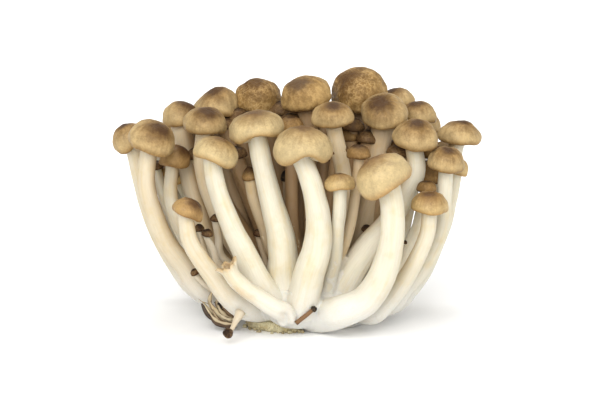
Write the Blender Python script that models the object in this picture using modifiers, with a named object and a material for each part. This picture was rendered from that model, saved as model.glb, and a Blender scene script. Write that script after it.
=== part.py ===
"""An upright bunch of brown beech mushrooms (shimeji) that all grow out of one white foot.

Metres, +Z up, -Y to the front. The origin is on the surface that the bunch stands on, under its foot.
Each mushroom grew as one piece, so cap and stem are one turned solid, bent along its own guide curve.
"""

import math

import bmesh
import bpy
import numpy as np

MM = 0.001

# The foot: a dome of fused white tissue with a flat cut underside.
FOOT_MIDDLE = np.array([0.004, 0.002, 0.0])
FOOT_RADIUS = 0.0240
FOOT_DEPTH_SHARE = 0.94
FOOT_HEIGHT = 0.0165
FOOT_BELLY_HEIGHT = 0.0055
FOOT_UNDERSIDE_RADIUS = 0.0205
FOOT_ROUNDNESS = 2.3
FOOT_DOME_STEPS = 6
FOOT_SIDES = 24

# A stem grows out of the foot from a point this share of the way out from the foot's heart.
FOOT_HEART = FOOT_MIDDLE + np.array([0.0, 0.0, 0.002])
ROOT_SHARE = 0.80

# The crust of the growing block under the front left of the foot.
CRUST_MIDDLE = (-0.0060, -0.0085, 0.0)
CRUST_RADIUS = 0.0135
CRUST_HEIGHT = 0.0034
CRUST_DEPTH_SHARE = 0.85
CRUST_RIM_SHARE = 0.35
CRUST_UNDERSIDE_SHARE = 0.97
CRUST_SIDES = 18

# Pieces that touch in the real bunch keep this gap.
GAP = 0.0003

# Places are measured on a front view of the bunch: millimetres across from the middle, millimetres up
# from the foot's front edge, and a depth. The view looks down by VIEW_TILT from VIEW_DISTANCE away.
VIEW_TILT = math.radians(12)
VIEW_DISTANCE = 0.90
VIEW_CENTRE = np.array([0.0021, 0.0, 0.0411])
VIEW_CENTRE_UP = 0.0446

STEM_POINTS = 24
STEM_RINGS = 7
CAP_RINGS = 6
MUSHROOM_SIDES = 9
PIN_SIDES = 6

# A cap's middle is this share of its height above the neck. The neck goes straight down for a share of
# the cap's width before the stem bends.
CAP_SEAT_SHARE = 0.42
NECK_LENGTH_SHARE = 0.10
LEAST_NECK_SHARE = 0.25
GIRTH_TAPER = 1.2
GUIDE_OVERSHOOT = 0.006

# A cap's outline: where it is widest, and how far its margin rolls in under it.
CAP_BELLY_SHARE = 0.36
CAP_BULGE = 0.76
CAP_MARGIN_ANGLE = math.radians(142)
CAP_THROAT_SHARE = 0.10

# How neighbours are pushed apart: the rounds, the air left around them, how much each direction gives, and
# the most that one overlap counts for. NEAR_ROUNDS is how often the list of near neighbours is renewed.
SETTLE_ROUNDS = 320
NEAR_ROUNDS = 8
NEAR = 0.006
SETTLE_AIR = 0.0012
FLOOR_AIR = 0.0008
SETTLE_GIVE = np.array([0.22, 1.0, 0.22])
SETTLE_SPEED = 0.9
MOST_OVERLAP = 0.002
WELL_IN_FOOT = 0.88
EVENING = 0.45

# A cap is a ring of balls and one in its middle. What moves a cap moves the last points of its stem too.
RING_BALLS = 6
BALL_RADIUS_SHARE = 0.47
BALL_RISE_SHARE = 0.40
CAP_PULLS = (1.0, 0.7, 0.4)


def mushroom(cap, size, lean, girth, route, rooted=True):
    """A row of the design: cap middle (across, up, depth), cap (width, height), lean (to the right, to
    the front) in degrees, stem (neck, foot) girth, and the stem's route from the neck down. A rooted one
    goes on from the end of its route into the foot."""
    return {"cap": cap, "size": size, "lean": lean, "girth": girth, "route": route, "rooted": rooted}


SEEN = {
    "left_mushroom_1": mushroom(
        (-59.5, 67.3, 4), (12.5, 10.0), (-30, 0), (6.2, 6.8),
        [(-56, 58, 4), (-53.6, 48, 4), (-50.5, 39.5, 4), (-45.2, 29, 3), (-38, 20, 2), (-31, 13.5, 2)],
    ),
    "left_mushroom_2": mushroom(
        (-52.0, 67.5, -13), (16.6, 12.2), (14, 8), (6.0, 7.6),
        [(-54, 60, -13), (-54, 49.5, -13), (-51, 40.5, -13),
         (-47, 31.5, -13), (-40, 23, -12), (-33, 14.5, -11)],
    ),
    "left_mushroom_3": mushroom(
        (-41.5, 75.8, 12), (14.0, 10.2), (-8, 0), (7.6, 8.4),
        [(-40, 67, 11), (-38, 56, 10), (-35.5, 46, 9), (-31, 32, 8), (-23, 20, 6)],
    ),
    "left_mushroom_4": mushroom(
        (-33.3, 73.4, -2), (14.9, 10.2), (6, 4), (6.4, 7.2),
        [(-34.5, 59.5, -1), (-32.5, 49, 0), (-26, 32, 1), (-17.5, 18, 2)],
    ),
    "left_mushroom_5": mushroom(
        (-44.0, 61.0, -1), (11.4, 9.0), (16, 0), (4.8, 6.0),
        [(-46, 56, -2), (-45.5, 47, -4), (-43.5, 39, -6), (-38.5, 28.5, -8), (-30, 16, -8)],
    ),
    "left_mushroom_6": mushroom(
        (-49.5, 55.5, 10), (10.0, 7.2), (-6, 0), (4.4, 5.2),
        [(-49.5, 51, 9), (-47.5, 40.5, 9), (-42, 28.5, 8), (-33, 16, 6)],
    ),
    "front_mushroom_1": mushroom(
        (-39.2, 43.4, -30), (10.8, 7.4), (10, 0), (4.4, 6.6),
        [(-39.7, 40, -30), (-39.4, 35, -30), (-36.8, 28.5, -30),
         (-32.5, 23, -29), (-27, 16, -27), (-21, 10, -24)],
    ),
    "front_mushroom_2": mushroom(
        (-29.6, 62.9, -21), (15.6, 10.8), (16, 0), (5.8, 8.2),
        [(-30, 58.5, -21), (-27.7, 46, -21), (-23, 35.5, -21),
         (-18, 26.5, -21), (-14, 19, -20), (-10.5, 14.5, -18)],
    ),
    "front_mushroom_3": mushroom(
        (-15.2, 71.8, -15), (19.2, 11.4), (-4, 0), (6.6, 9.0),
        [(-14.7, 67, -15), (-12.6, 55.5, -15), (-9.8, 44.5, -15),
         (-7, 34.5, -16), (-5.6, 25, -16), (-5.3, 15.5, -15)],
    ),
    "front_mushroom_4": mushroom(
        (1.0, 65.0, -26), (20.6, 13.0), (4, 8), (7.2, 9.6),
        [(1.6, 60, -26), (3.9, 52, -26), (6, 44, -26),
         (7, 37, -26), (7, 32, -26), (5.6, 25.5, -25), (3.5, 19.5, -23)],
    ),
    "front_mushroom_5": mushroom(
        (11.4, 75.8, -7), (15.0, 9.8), (-4, 6), (5.6, 6.0),
        [(13, 71, -7), (15.8, 55.5, -8), (16.8, 46, -9), (15.4, 32, -10), (10.5, 19.5, -10)],
    ),
    "front_mushroom_6": mushroom(
        (14.0, 52.0, -25), (11.2, 7.0), (-4, 0), (4.2, 4.4),
        [(14, 48.5, -25), (13.8, 40.5, -24), (13.3, 33.5, -22),
         (13, 26.5, -19), (11, 19.5, -16), (9, 13, -13)],
    ),
    "front_mushroom_7": mushroom(
        (28.8, 54.2, -33), (20.6, 14.0), (-26, 4), (7.6, 10.2),
        [(31, 46.5, -33), (32.6, 40.5, -33), (32.2, 32, -33),
         (30.8, 25, -32), (28, 18, -31), (22.5, 10.5, -28),
         (13, 7, -23)],
    ),
    "front_mushroom_8": mushroom(
        (45.5, 44.8, -25), (12.6, 8.4), (3, 0), (5.2, 6.2),
        [(45.5, 40.5, -25), (45, 36, -25), (43.4, 31, -25),
         (40.5, 25, -24), (35, 16, -21), (26, 7.5, -16)],
    ),
    "top_mushroom_1": mushroom(
        (-29.4, 79.8, 14), (15.6, 11.0), (-12, 0), (6.8, 7.6),
        [(-27, 63.5, 12), (-24, 46, 10), (-17.5, 25, 6)],
    ),
    "top_mushroom_2": mushroom(
        (-14.5, 82.2, 16), (17.0, 12.6), (0, 10), (7.2, 8.0),
        [(-13.3, 67, 14), (-11, 46, 11), (-7, 25, 6)],
    ),
    "top_mushroom_3": mushroom(
        (2.0, 83.3, 4), (17.8, 12.4), (-10, 8), (7.6, 7.8),
        [(2.8, 75, 4), (0.5, 53, 3), (0, 32, 2), (0, 18, 1)],
    ),
    "top_mushroom_4": mushroom(
        (20.8, 83.6, 18), (20.2, 15.6), (0, 14), (7.8, 8.4),
        [(20.3, 67, 16), (17.5, 46, 12), (12.3, 25, 7)],
    ),
    "top_mushroom_5": mushroom(
        (29.7, 76.8, 0), (16.6, 11.4), (0, 24), (7.6, 7.8),
        [(28.4, 68, 2), (27.5, 60, 2), (25, 46, 1), (19.5, 28.5, -1), (14, 18, -2)],
    ),
    "top_mushroom_6": mushroom(
        (35.4, 81.6, 25), (11.4, 8.2), (6, 0), (5.8, 6.6),
        [(34.3, 70.5, 23), (30, 49.5, 17), (21, 28.5, 10)],
    ),
    "top_mushroom_7": mushroom(
        (42.0, 76.4, 14), (12.8, 8.6), (10, 0), (5.8, 6.8),
        [(41.3, 63.5, 12), (37.8, 46, 10), (28, 28.5, 6), (19, 16, 4)],
    ),
    "right_mushroom_1": mushroom(
        (40.3, 68.6, -6), (16.2, 11.4), (6, 6), (5.8, 8.6),
        [(40.4, 62.5, -6), (41, 56.5, -6), (37.8, 49.5, -7),
         (34.3, 42.5, -8), (25, 32, -10), (16, 19.5, -11)],
    ),
    "right_mushroom_2": mushroom(
        (55.6, 68.4, 14), (15.2, 10.0), (20, 0), (5.6, 6.4),
        [(52.5, 58, 14), (50, 46, 13), (46, 33.5, 12), (39.5, 21.5, 10), (30, 13, 7)],
    ),
    "right_mushroom_3": mushroom(
        (51.2, 60.0, -9), (13.2, 9.8), (4, 8), (5.2, 6.4),
        [(50.8, 54.5, -9), (50, 46, -9), (49, 37, -9), (44, 26.5, -9), (35, 16, -8), (28, 9, -7)],
    ),
    "right_mushroom_4": mushroom(
        (53.2, 57.4, 4), (10.0, 7.6), (14, 0), (5.2, 6.0),
        [(51.6, 51, 3), (49.4, 39.5, 2), (46.0, 31.5, 1), (41.0, 21.5, 1), (32, 11.5, 1)],
    ),
    "right_mushroom_5": mushroom(
        (45.4, 55.6, 8), (12.6, 10.0), (0, 0), (5.0, 5.8),
        [(43.5, 44, 7), (39.5, 30, 5), (31, 18, 3)],
    ),
    "right_mushroom_6": mushroom(
        (46.4, 63.6, 6), (8.6, 6.6), (4, 0), (3.8, 4.6),
        [(45.5, 54, 8), (41, 36, 7), (31, 20, 4)],
    ),
    "inner_mushroom_1": mushroom(
        (44.4, 49.8, -12), (7.8, 5.6), (0, 0), (3.6, 4.4),
        [(43.5, 44, -12), (40.5, 34, -11), (32, 18, -8)],
    ),
    "inner_mushroom_2": mushroom(
        (21.0, 62.4, -16), (8.2, 5.8), (0, 0), (3.6, 4.4),
        [(20.3, 52, -16), (18.5, 36, -15), (13.5, 20, -12)],
    ),
    "inner_mushroom_3": mushroom(
        (17.0, 68.8, 8), (9.0, 6.4), (0, 0), (4.0, 5.0),
        [(15.5, 50, 7), (11, 28, 4)],
    ),
    "inner_mushroom_4": mushroom(
        (-3.4, 72.2, -2), (9.0, 6.4), (0, 0), (4.0, 5.0),
        [(-3.4, 55, -3), (-3, 32, -4)],
    ),
    "inner_mushroom_5": mushroom(
        (34.4, 63.6, 8), (8.4, 6.2), (0, 0), (4.0, 5.0),
        [(32, 49, 7), (23, 28, 4)],
    ),
    "inner_mushroom_6": mushroom(
        (-17.8, 54.4, -13), (4.6, 4.6), (-6, 0), (2.8, 3.6),
        [(-16.6, 47, -12), (-14.8, 41.5, -11), (-12, 34, -10), (-9, 25, -9)],
    ),
}

# The torn stem has a ragged end in place of a cap.
TORN_STEM = mushroom(
    (-25.6, 22.9, -35), (0.0, 0.0), (0, 0), (5.4, 5.8),
    [(-24, 19.8, -34.5), (-20, 15.8, -34), (-13.3, 11.6, -32), (-7.5, 8.4, -29)],
)

# Pins: mushrooms that stopped growing, with tiny heads.
PINS = {
    "pin_1": mushroom(
        (-35.0, 36.4, -18), (2.8, 3.2), (-14, 0), (1.6, 1.9), [(-33.5, 31, -17), (-29, 23, -15)]
    ),
    "pin_2": mushroom(
        (-32.6, 34.4, -21), (3.6, 3.2), (10, 0), (2.2, 2.5), [(-30.5, 29, -20), (-27, 22, -17)]
    ),
    "pin_3": mushroom(
        (-29.4, 38.9, -15), (3.8, 3.5), (8, 0), (2.9, 3.3), [(-28.6, 32, -15), (-26.4, 24, -14)]
    ),
    "pin_4": mushroom(
        (-14.7, 34.0, -9), (3.5, 3.0), (0, 0), (2.2, 2.5), [(-13, 28, -9), (-10, 21, -9)]
    ),
    "pin_5": mushroom(
        (-37.1, 20.8, -16), (2.6, 2.9), (-20, 0), (2.0, 2.3), [(-35, 18.5, -16), (-31, 15, -14)]
    ),
    "pin_6": mushroom(
        (23.1, 36.4, -4), (3.6, 2.4), (0, 20), (2.4, 2.8), [(21, 28, -4), (16, 20, -4)]
    ),
    "pin_7": mushroom(
        (-5.1, 53.7, -2), (3.0, 4.8), (0, 0), (2.2, 2.6), [(-4.6, 44, -2), (-3.0, 30, -2)]
    ),
}

# Mushrooms at the back: cap middle (x, y, z) and cap width in millimetres.
BACK_CAPS = [
    (-50, 17, 58, 13.5),
    (-41, 28, 65, 14.5),
    (-27, 33, 60, 17.0),
    (-12, 35, 69, 15.0),
    (3, 41, 62, 18.0),
    (19, 39, 67, 15.5),
    (33, 36, 60, 15.5),
    (44, 26, 65, 12.0),
    (52, 18, 55, 12.5),
    (-45, 33, 44, 10.5),
    (-31, 43, 48, 14.0),
    (-12, 50, 44, 13.0),
    (10, 50, 47, 14.0),
    (32, 46, 44, 13.0),
]
BACK_CAP_HEIGHT_SHARE = 0.70
BACK_LEAN_OUT = 0.30
BACK_LEAN_SWAY = 0.12
BACK_LEAN_TURN = 2.4
BACK_GIRTH_SHARES = (0.44, 0.52)
BACK_ROUTE_HEIGHTS = np.array([0.85, 0.62, 0.40, 0.22])[:, None]
BACK_ROUTE_BOW = 0.78

# The dried pin that leans on the floor, and the dark pin at the front, in front-view millimetres.
WITHERED_PIN = mushroom(
    (-25.2, -0.6, -37), (3.5, 3.5), (-40, 60), (2.2, 2.6),
    [(-23, 2.6, -34), (-21.2, 5.8, -31)], rooted=False,
)
BLACK_PIN = mushroom(
    (4.9, 7.7, -31), (2.1, 2.0), (50, 20), (1.4, 1.7),
    [(1.6, 5.2, -30.5), (-1.8, 3.6, -30)], rooted=False,
)

# The clump of dried stems at the lower left of the foot.
DRIED_MIDDLE = (-0.0262, -0.0170, 0.0050)
DRIED_HALF_SIZE = (0.0064, 0.0046, 0.0047)
DRIED_RIDGES = 12
DRIED_FOLD = 0.80

COLOURS = {
    "mushroom": (0.78, 0.62, 0.42),
    "tissue": (0.93, 0.90, 0.83),
    "crust": (0.55, 0.49, 0.30),
    "pin": (0.20, 0.13, 0.09),
    "dried": (0.23, 0.16, 0.11),
}
FLESH_ROUGHNESS = 0.6
DRY_ROUGHNESS = 0.9


def clear_scene():
    for old in list(bpy.data.objects):
        bpy.data.objects.remove(old, do_unlink=True)


def new_collection(name):
    made = bpy.data.collections.new(name)
    bpy.context.scene.collection.children.link(made)
    return made


def new_material(name, colour, roughness):
    made = bpy.data.materials.new(name)
    made.use_nodes = True
    shader = made.node_tree.nodes["Principled BSDF"]
    shader.inputs["Base Color"].default_value = (*colour, 1.0)
    shader.inputs["Roughness"].default_value = roughness
    shader.inputs["Metallic"].default_value = 0.0
    return made


def new_object(name, mesh, collection, material=None):
    made = bpy.data.objects.new(name, mesh)
    collection.objects.link(made)
    if material:
        mesh.materials.append(material)
    return made


def make_guide(thing):
    thing.hide_render = True
    thing.display_type = "WIRE"


def from_front_view(across, up, depth):
    """The point in space at this depth, on the sight line through this point of the front view."""
    sight = np.array([0.0, math.cos(VIEW_TILT), -math.sin(VIEW_TILT)])
    upward = np.array([0.0, math.sin(VIEW_TILT), math.cos(VIEW_TILT)])
    eye = VIEW_CENTRE - VIEW_DISTANCE * sight
    in_view = np.array([across * MM, *VIEW_CENTRE[1:]]) + upward * (up * MM - VIEW_CENTRE_UP)
    share = (depth * MM - eye[1]) / (in_view[1] - eye[1])
    return eye + share * (in_view - eye)


def cap_axis(lean):
    """The unit vector that a cap points along, from its lean to the right and to the front in degrees."""
    right, front = (math.tan(math.radians(angle)) for angle in lean)
    axis = np.array([right, -front, 1.0])
    return axis / np.linalg.norm(axis)


def foot_profile():
    """The foot's outline, top to bottom: a rounded dome, then a short tuck to the flat underside."""
    rise = FOOT_HEIGHT - FOOT_BELLY_HEIGHT
    turns = np.linspace(0.0, math.pi / 2, FOOT_DOME_STEPS + 1)
    dome = [
        (
            FOOT_RADIUS * math.sin(t) ** (2 / FOOT_ROUNDNESS),
            FOOT_BELLY_HEIGHT + rise * max(math.cos(t), 0.0) ** (2 / FOOT_ROUNDNESS),
        )
        for t in turns
    ]
    return [*dome, (FOOT_UNDERSIDE_RADIUS, 0.0), (0.0, 0.0)]


def size_in_foot(points):
    """How far out each point is on a scale where the foot's middle is 0 and its dome is 1."""
    inside = (points - FOOT_MIDDLE) / np.array([FOOT_RADIUS, FOOT_RADIUS * FOOT_DEPTH_SHARE, FOOT_HEIGHT])
    return (np.abs(inside) ** FOOT_ROUNDNESS).sum(axis=-1) ** (1 / FOOT_ROUNDNESS)


def smooth_path(waypoints, count):
    """Evenly spaced points on a Catmull-Rom curve through the waypoints."""
    ends = [2 * waypoints[0] - waypoints[1], *waypoints, 2 * waypoints[-1] - waypoints[-2]]
    steps = np.linspace(0.0, 1.0, 12, endpoint=False)[:, None]
    stretches = []
    for a, b, c, d in zip(ends, ends[1:], ends[2:], ends[3:]):
        stretches.append(
            0.5
            * (
                2 * b
                + (c - a) * steps
                + (2 * a - 5 * b + 4 * c - d) * steps**2
                + (3 * b - a - 3 * c + d) * steps**3
            )
        )
    fine = np.vstack([*stretches, waypoints[-1][None]])
    along = np.concatenate([[0.0], np.cumsum(np.linalg.norm(np.diff(fine, axis=0), axis=1))])
    wanted = np.linspace(0.0, along[-1], count)
    return np.stack([np.interp(wanted, along, fine[:, k]) for k in range(3)], axis=1)


def to_foot(lowest):
    """The point inside the foot that a stem from this lowest waypoint grows out of."""
    return FOOT_HEART + (lowest - FOOT_HEART) * ROOT_SHARE / max(float(size_in_foot(lowest)), 1.0)


def as_piece(name, route, neck, axis, width, height, girths):
    """A piece laid out in space: its spine from foot to neck, its radii along it, and its cap."""
    spine = smooth_path([*route[::-1], neck], STEM_POINTS)
    neck_girth, foot_girth = girths
    to_neck = np.linspace(1.0, 0.0, STEM_POINTS) ** GIRTH_TAPER
    radii = 0.5 * (neck_girth + (foot_girth - neck_girth) * to_neck)
    return {"name": name, "spine": spine, "radii": radii, "axis": axis, "width": width, "height": height}


def lay_out(name, row):
    """Turns a front-view row into a piece. A waypoint too near the cap gives way to a short neck."""
    width, height = (v * MM for v in row["size"])
    axis = cap_axis(row["lean"])
    neck = from_front_view(*row["cap"]) - axis * height * CAP_SEAT_SHARE
    route = [from_front_view(*point) for point in row["route"]]
    if width > 0.0:
        route = [point for point in route if np.linalg.norm(point - neck) > LEAST_NECK_SHARE * width]
        route = [neck - axis * NECK_LENGTH_SHARE * width, *route]
    if row["rooted"]:
        route.append(to_foot(route[-1]))
    girths = [v * MM for v in row["girth"]]
    return as_piece(name, route, neck, axis, width, height, girths)


def lay_out_back(number, x, y, z, width):
    """A mushroom at the back, whose stem leaves the foot low and outwards and then bows upwards."""
    cap = np.array([x, y, z]) * MM
    width *= MM
    height = BACK_CAP_HEIGHT_SHARE * width
    out = (cap - FOOT_MIDDLE) * np.array([1.0, 1.0, 0.0])
    turn = number * BACK_LEAN_TURN
    sway = BACK_LEAN_SWAY * np.array([math.cos(turn), math.sin(turn), 0.0])
    axis = np.array([0.0, 0.0, 1.0]) + BACK_LEAN_OUT * out / np.linalg.norm(cap) + sway
    axis = axis / np.linalg.norm(axis)
    neck = cap - axis * height * CAP_SEAT_SHARE
    reach = 1.0 - BACK_ROUTE_BOW * (1.0 - BACK_ROUTE_HEIGHTS) ** 1.7
    rise = BACK_ROUTE_HEIGHTS**1.15 * cap[2]
    route = list(FOOT_MIDDLE + out * reach + rise * np.array([0.0, 0.0, 1.0]))
    route.append(to_foot(route[-1]))
    girths = [share * width for share in BACK_GIRTH_SHARES]
    return as_piece(f"back_mushroom_{number}", route, neck, axis, width, height, girths)


def lay_out_dried():
    """The clump of dried stems, as the balls that its neighbours keep clear of."""
    middle, half = np.array(DRIED_MIDDLE), DRIED_HALF_SIZE
    reach = np.array([half[0] - half[2], 0.0, 0.0])
    spine = np.linspace(middle - reach, middle + reach, STEM_POINTS)
    radii = np.full(STEM_POINTS, half[2] + GAP)
    up = np.array([0.0, 0.0, 1.0])
    name = "dried_stems"
    return {"name": name, "spine": spine, "radii": radii, "axis": up, "width": 0.0, "height": 0.0}


def cap_balls(piece):
    """Offsets from the neck, and radii, of the balls that fill a cap."""
    if piece["width"] == 0.0:
        return np.zeros((RING_BALLS + 1, 3)), np.full(RING_BALLS + 1, 1e-4)
    axis = piece["axis"]
    side = np.cross(axis, [0.0, 1.0, 0.0])
    side /= np.linalg.norm(side)
    other = np.cross(axis, side)
    radius = BALL_RADIUS_SHARE * piece["height"]
    ring = max(0.5 * piece["width"] - radius, 0.0)
    turns = np.arange(RING_BALLS) * math.tau / RING_BALLS
    around = ring * (np.cos(turns)[:, None] * side + np.sin(turns)[:, None] * other)
    centre = axis * piece["height"] * BALL_RISE_SHARE
    return np.vstack([around + centre, centre[None]]), np.full(RING_BALLS + 1, radius)


def evened(moved):
    """Each point's move, averaged with those of the two points on either side of it."""
    count = moved.shape[1]
    padded = np.pad(moved, ((0, 0), (2, 2), (0, 0)), mode="edge")
    return sum(weight * padded[:, k : k + count] for k, weight in enumerate((1, 4, 6, 4, 1))) / 16


def settle(pieces):
    """Pushes neighbouring pieces apart, mostly in depth, until each has a little air around it.

    Each stem is a chain of balls, and so is each cap. Where two balls of different pieces are too near,
    both move away. What moves one point of a stem moves its neighbours along, so that stems stay smooth.
    """
    spines = np.array([piece["spine"] for piece in pieces])
    offsets, cap_radii = (np.array(part) for part in zip(*(cap_balls(piece) for piece in pieces)))
    radii = np.hstack([np.array([piece["radii"] for piece in pieces]), cap_radii])
    owner = np.repeat(np.arange(len(pieces)), radii.shape[1])
    flat_radii = radii.ravel()
    stays = np.array([piece["name"] == "dried_stems" for piece in pieces])
    moved = np.zeros_like(spines)
    start = spines.copy()
    for turn in range(SETTLE_ROUNDS):
        spines = start + moved
        balls = np.concatenate([spines, spines[:, -1:] + offsets], axis=1).reshape(-1, 3)
        if turn % NEAR_ROUNDS == 0:
            apart = np.linalg.norm(balls[:, None] - balls[None], axis=2)
            near = apart < flat_radii[:, None] + flat_radii[None] + NEAR
            near &= owner[:, None] < owner[None]
            outside = size_in_foot(balls) > WELL_IN_FOOT
            near &= outside[:, None] & outside[None]
            one, two = np.nonzero(near)
        way = balls[one] - balls[two]
        far = np.linalg.norm(way, axis=1) + 1e-9
        way = way / far[:, None]
        deep = np.clip(flat_radii[one] + flat_radii[two] + SETTLE_AIR - far, 0.0, MOST_OVERLAP)
        give = way * SETTLE_GIVE
        give *= (deep / (way * give).sum(axis=1))[:, None] * 0.5
        push = np.zeros_like(balls)
        hits = np.zeros(len(balls))
        np.add.at(push, one, give)
        np.add.at(push, two, -give)
        np.add.at(hits, one, deep > 0)
        np.add.at(hits, two, deep > 0)
        push = push.reshape(spines.shape[0], -1, 3)
        hits = hits.reshape(spines.shape[0], -1)
        stem_push = push[:, :STEM_POINTS] / np.maximum(hits[:, :STEM_POINTS], 1.0)[..., None]
        cap_hits = np.maximum(hits[:, STEM_POINTS:].sum(axis=1), 1.0)
        cap_push = push[:, STEM_POINTS:].sum(axis=1) / cap_hits[:, None]
        for back, share in enumerate(CAP_PULLS, 1):
            stem_push[:, -back] += share * cap_push
        moved += SETTLE_SPEED * stem_push * ~stays[:, None, None]
        lift = np.maximum(radii[:, :STEM_POINTS] + FLOOR_AIR - (start + moved)[..., 2], 0.0)
        moved[..., 2] += lift * ~stays[:, None]
        moved = (1.0 - EVENING) * moved + EVENING * evened(moved)
    for piece, spine in zip(pieces, start + moved):
        piece["spine"] = spine


def length_of(spine):
    return float(np.linalg.norm(np.diff(spine, axis=0), axis=1).sum())


def stem_side(piece, stem_length):
    """The side of a stem as outline points, from the neck down to the foot."""
    heights = np.linspace(stem_length, 0.0, STEM_RINGS + 1)
    radii = np.interp(heights, np.linspace(0.0, stem_length, STEM_POINTS), piece["radii"])
    return [(float(radius), float(height)) for radius, height in zip(radii, heights)]


def mushroom_profile(piece, stem_length):
    """A mushroom's outline, top to bottom: round cap, rolled margin, underside and stem."""
    half, height = 0.5 * piece["width"], piece["height"]
    belly = CAP_BELLY_SHARE * height
    widest = stem_length + belly - CAP_THROAT_SHARE * height
    outline = []
    for t in np.linspace(0.0, CAP_MARGIN_ANGLE, CAP_RINGS + 1):
        over = math.cos(t)
        rise = (height - belly) * over if over > 0 else belly * over / -math.cos(CAP_MARGIN_ANGLE)
        outline.append((half * math.sin(t) ** CAP_BULGE, widest + rise))
    return [*outline, *stem_side(piece, stem_length), (0.0, 0.0)]


def stem_profile(piece, stem_length):
    """The torn stem's outline, top to bottom: a ragged rim round a shallow hollow, then the stem."""
    neck = float(piece["radii"][-1])
    hollow = [(0.0, stem_length - 0.6 * neck), (0.55 * neck, stem_length - 0.25 * neck)]
    return [*hollow, *stem_side(piece, stem_length), (0.0, 0.0)]


def turned(name, outline, sides, collection, material):
    """A solid of revolution: the outline turned about Z by a Screw."""
    mesh = bpy.data.meshes.new(name)
    edges = [(k, k + 1) for k in range(len(outline) - 1)]
    mesh.from_pydata([(x, 0.0, z) for x, z in outline], edges, [])
    made = new_object(name, mesh, collection, material)
    screw = made.modifiers.new("turn", "SCREW")
    screw.axis = "Z"
    screw.steps = sides
    screw.render_steps = sides
    screw.use_merge_vertices = True
    screw.merge_threshold = 0.00005
    screw.use_smooth_shade = True
    return made


def guide_curve(name, spine, axis, above, collection):
    """The curve a mushroom is bent along: its spine, then straight up through its cap."""
    points = [*spine, spine[-1] + 0.5 * above * axis, spine[-1] + above * axis]
    data = bpy.data.curves.new(name, "CURVE")
    data.dimensions = "3D"
    data.twist_mode = "MINIMUM"
    spline = data.splines.new("POLY")
    spline.points.add(len(points) - 1)
    for point, place in zip(spline.points, points):
        point.co = (*place, 1.0)
    made = new_object(name, data, collection)
    make_guide(made)
    return made


def bend(thing, guide):
    along = thing.modifiers.new("bend", "CURVE")
    along.object = guide
    along.deform_axis = "POS_Z"


def cut(thing, cutter):
    away = thing.modifiers.new("cut", "BOOLEAN")
    away.operation = "DIFFERENCE"
    away.solver = "EXACT"
    away.object = cutter


def build_mushroom(piece, sides, parts, guides, material, cutters):
    """One mushroom, pin or stem: turned, bent along its guide, and trimmed where it meets the foot."""
    name, spine = piece["name"], piece["spine"]
    stem_length = length_of(spine)
    profile = mushroom_profile if piece["width"] else stem_profile
    made = turned(name, profile(piece, stem_length), sides, parts, material)
    above = piece["height"] + GUIDE_OVERSHOOT
    guide = guide_curve(f"{name}_guide", spine, piece["axis"], above, guides)
    bend(made, guide)
    for cutter in cutters:
        cut(made, cutter)
    return made


def dome(name, grow, collection, material):
    """The foot's dome, or with grow above zero a cutter that is that much larger all round."""
    outline = [(x * (1 + grow / FOOT_RADIUS), z * (1 + grow / FOOT_HEIGHT)) for x, z in foot_profile()]
    if grow:
        outline = [*outline[:-2], (outline[-2][0] + grow, -grow), (0.0, -grow)]
    made = turned(name, outline, FOOT_SIDES, collection, material)
    made.location = FOOT_MIDDLE
    made.scale = (1.0, FOOT_DEPTH_SHARE, 1.0)
    return made


def crust(name, grow, collection, material):
    """The crust: a low lens with a rough-cut rim, or with grow above zero the cutter for its seat."""
    radius, height = CRUST_RADIUS + grow, CRUST_HEIGHT + grow
    turns = np.linspace(0.0, math.pi / 2, 4)
    lift = [CRUST_RIM_SHARE + (1.0 - CRUST_RIM_SHARE) * max(math.cos(t), 0.0) for t in turns]
    outline = [(radius * math.sin(t), height * share) for t, share in zip(turns, lift)]
    outline += [(radius * CRUST_UNDERSIDE_SHARE, -grow), (0.0, -grow)]
    made = turned(name, outline, CRUST_SIDES, collection, material)
    made.location = CRUST_MIDDLE
    made.scale = (1.0, CRUST_DEPTH_SHARE, 1.0)
    return made


def dried_clump(collection, material):
    """The dried clump: a flattened coarse ball, every other ridge drawn in, smoothed by Subdivision."""
    shape = bmesh.new()
    bmesh.ops.create_uvsphere(shape, u_segments=DRIED_RIDGES, v_segments=6, radius=1.0)
    for corner in shape.verts:
        turn = round(math.atan2(corner.co.y, corner.co.x) / math.tau * DRIED_RIDGES)
        drawn_in = DRIED_FOLD if turn % 2 else 1.0
        corner.co.x *= DRIED_HALF_SIZE[0] * drawn_in
        corner.co.y *= DRIED_HALF_SIZE[1] * drawn_in
        corner.co.z *= DRIED_HALF_SIZE[2]
    mesh = bpy.data.meshes.new("dried_stems")
    shape.to_mesh(mesh)
    shape.free()
    made = new_object("dried_stems", mesh, collection, material)
    made.location = DRIED_MIDDLE
    soft = made.modifiers.new("soften", "SUBSURF")
    soft.levels = 1
    soft.render_levels = 1
    return made


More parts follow.
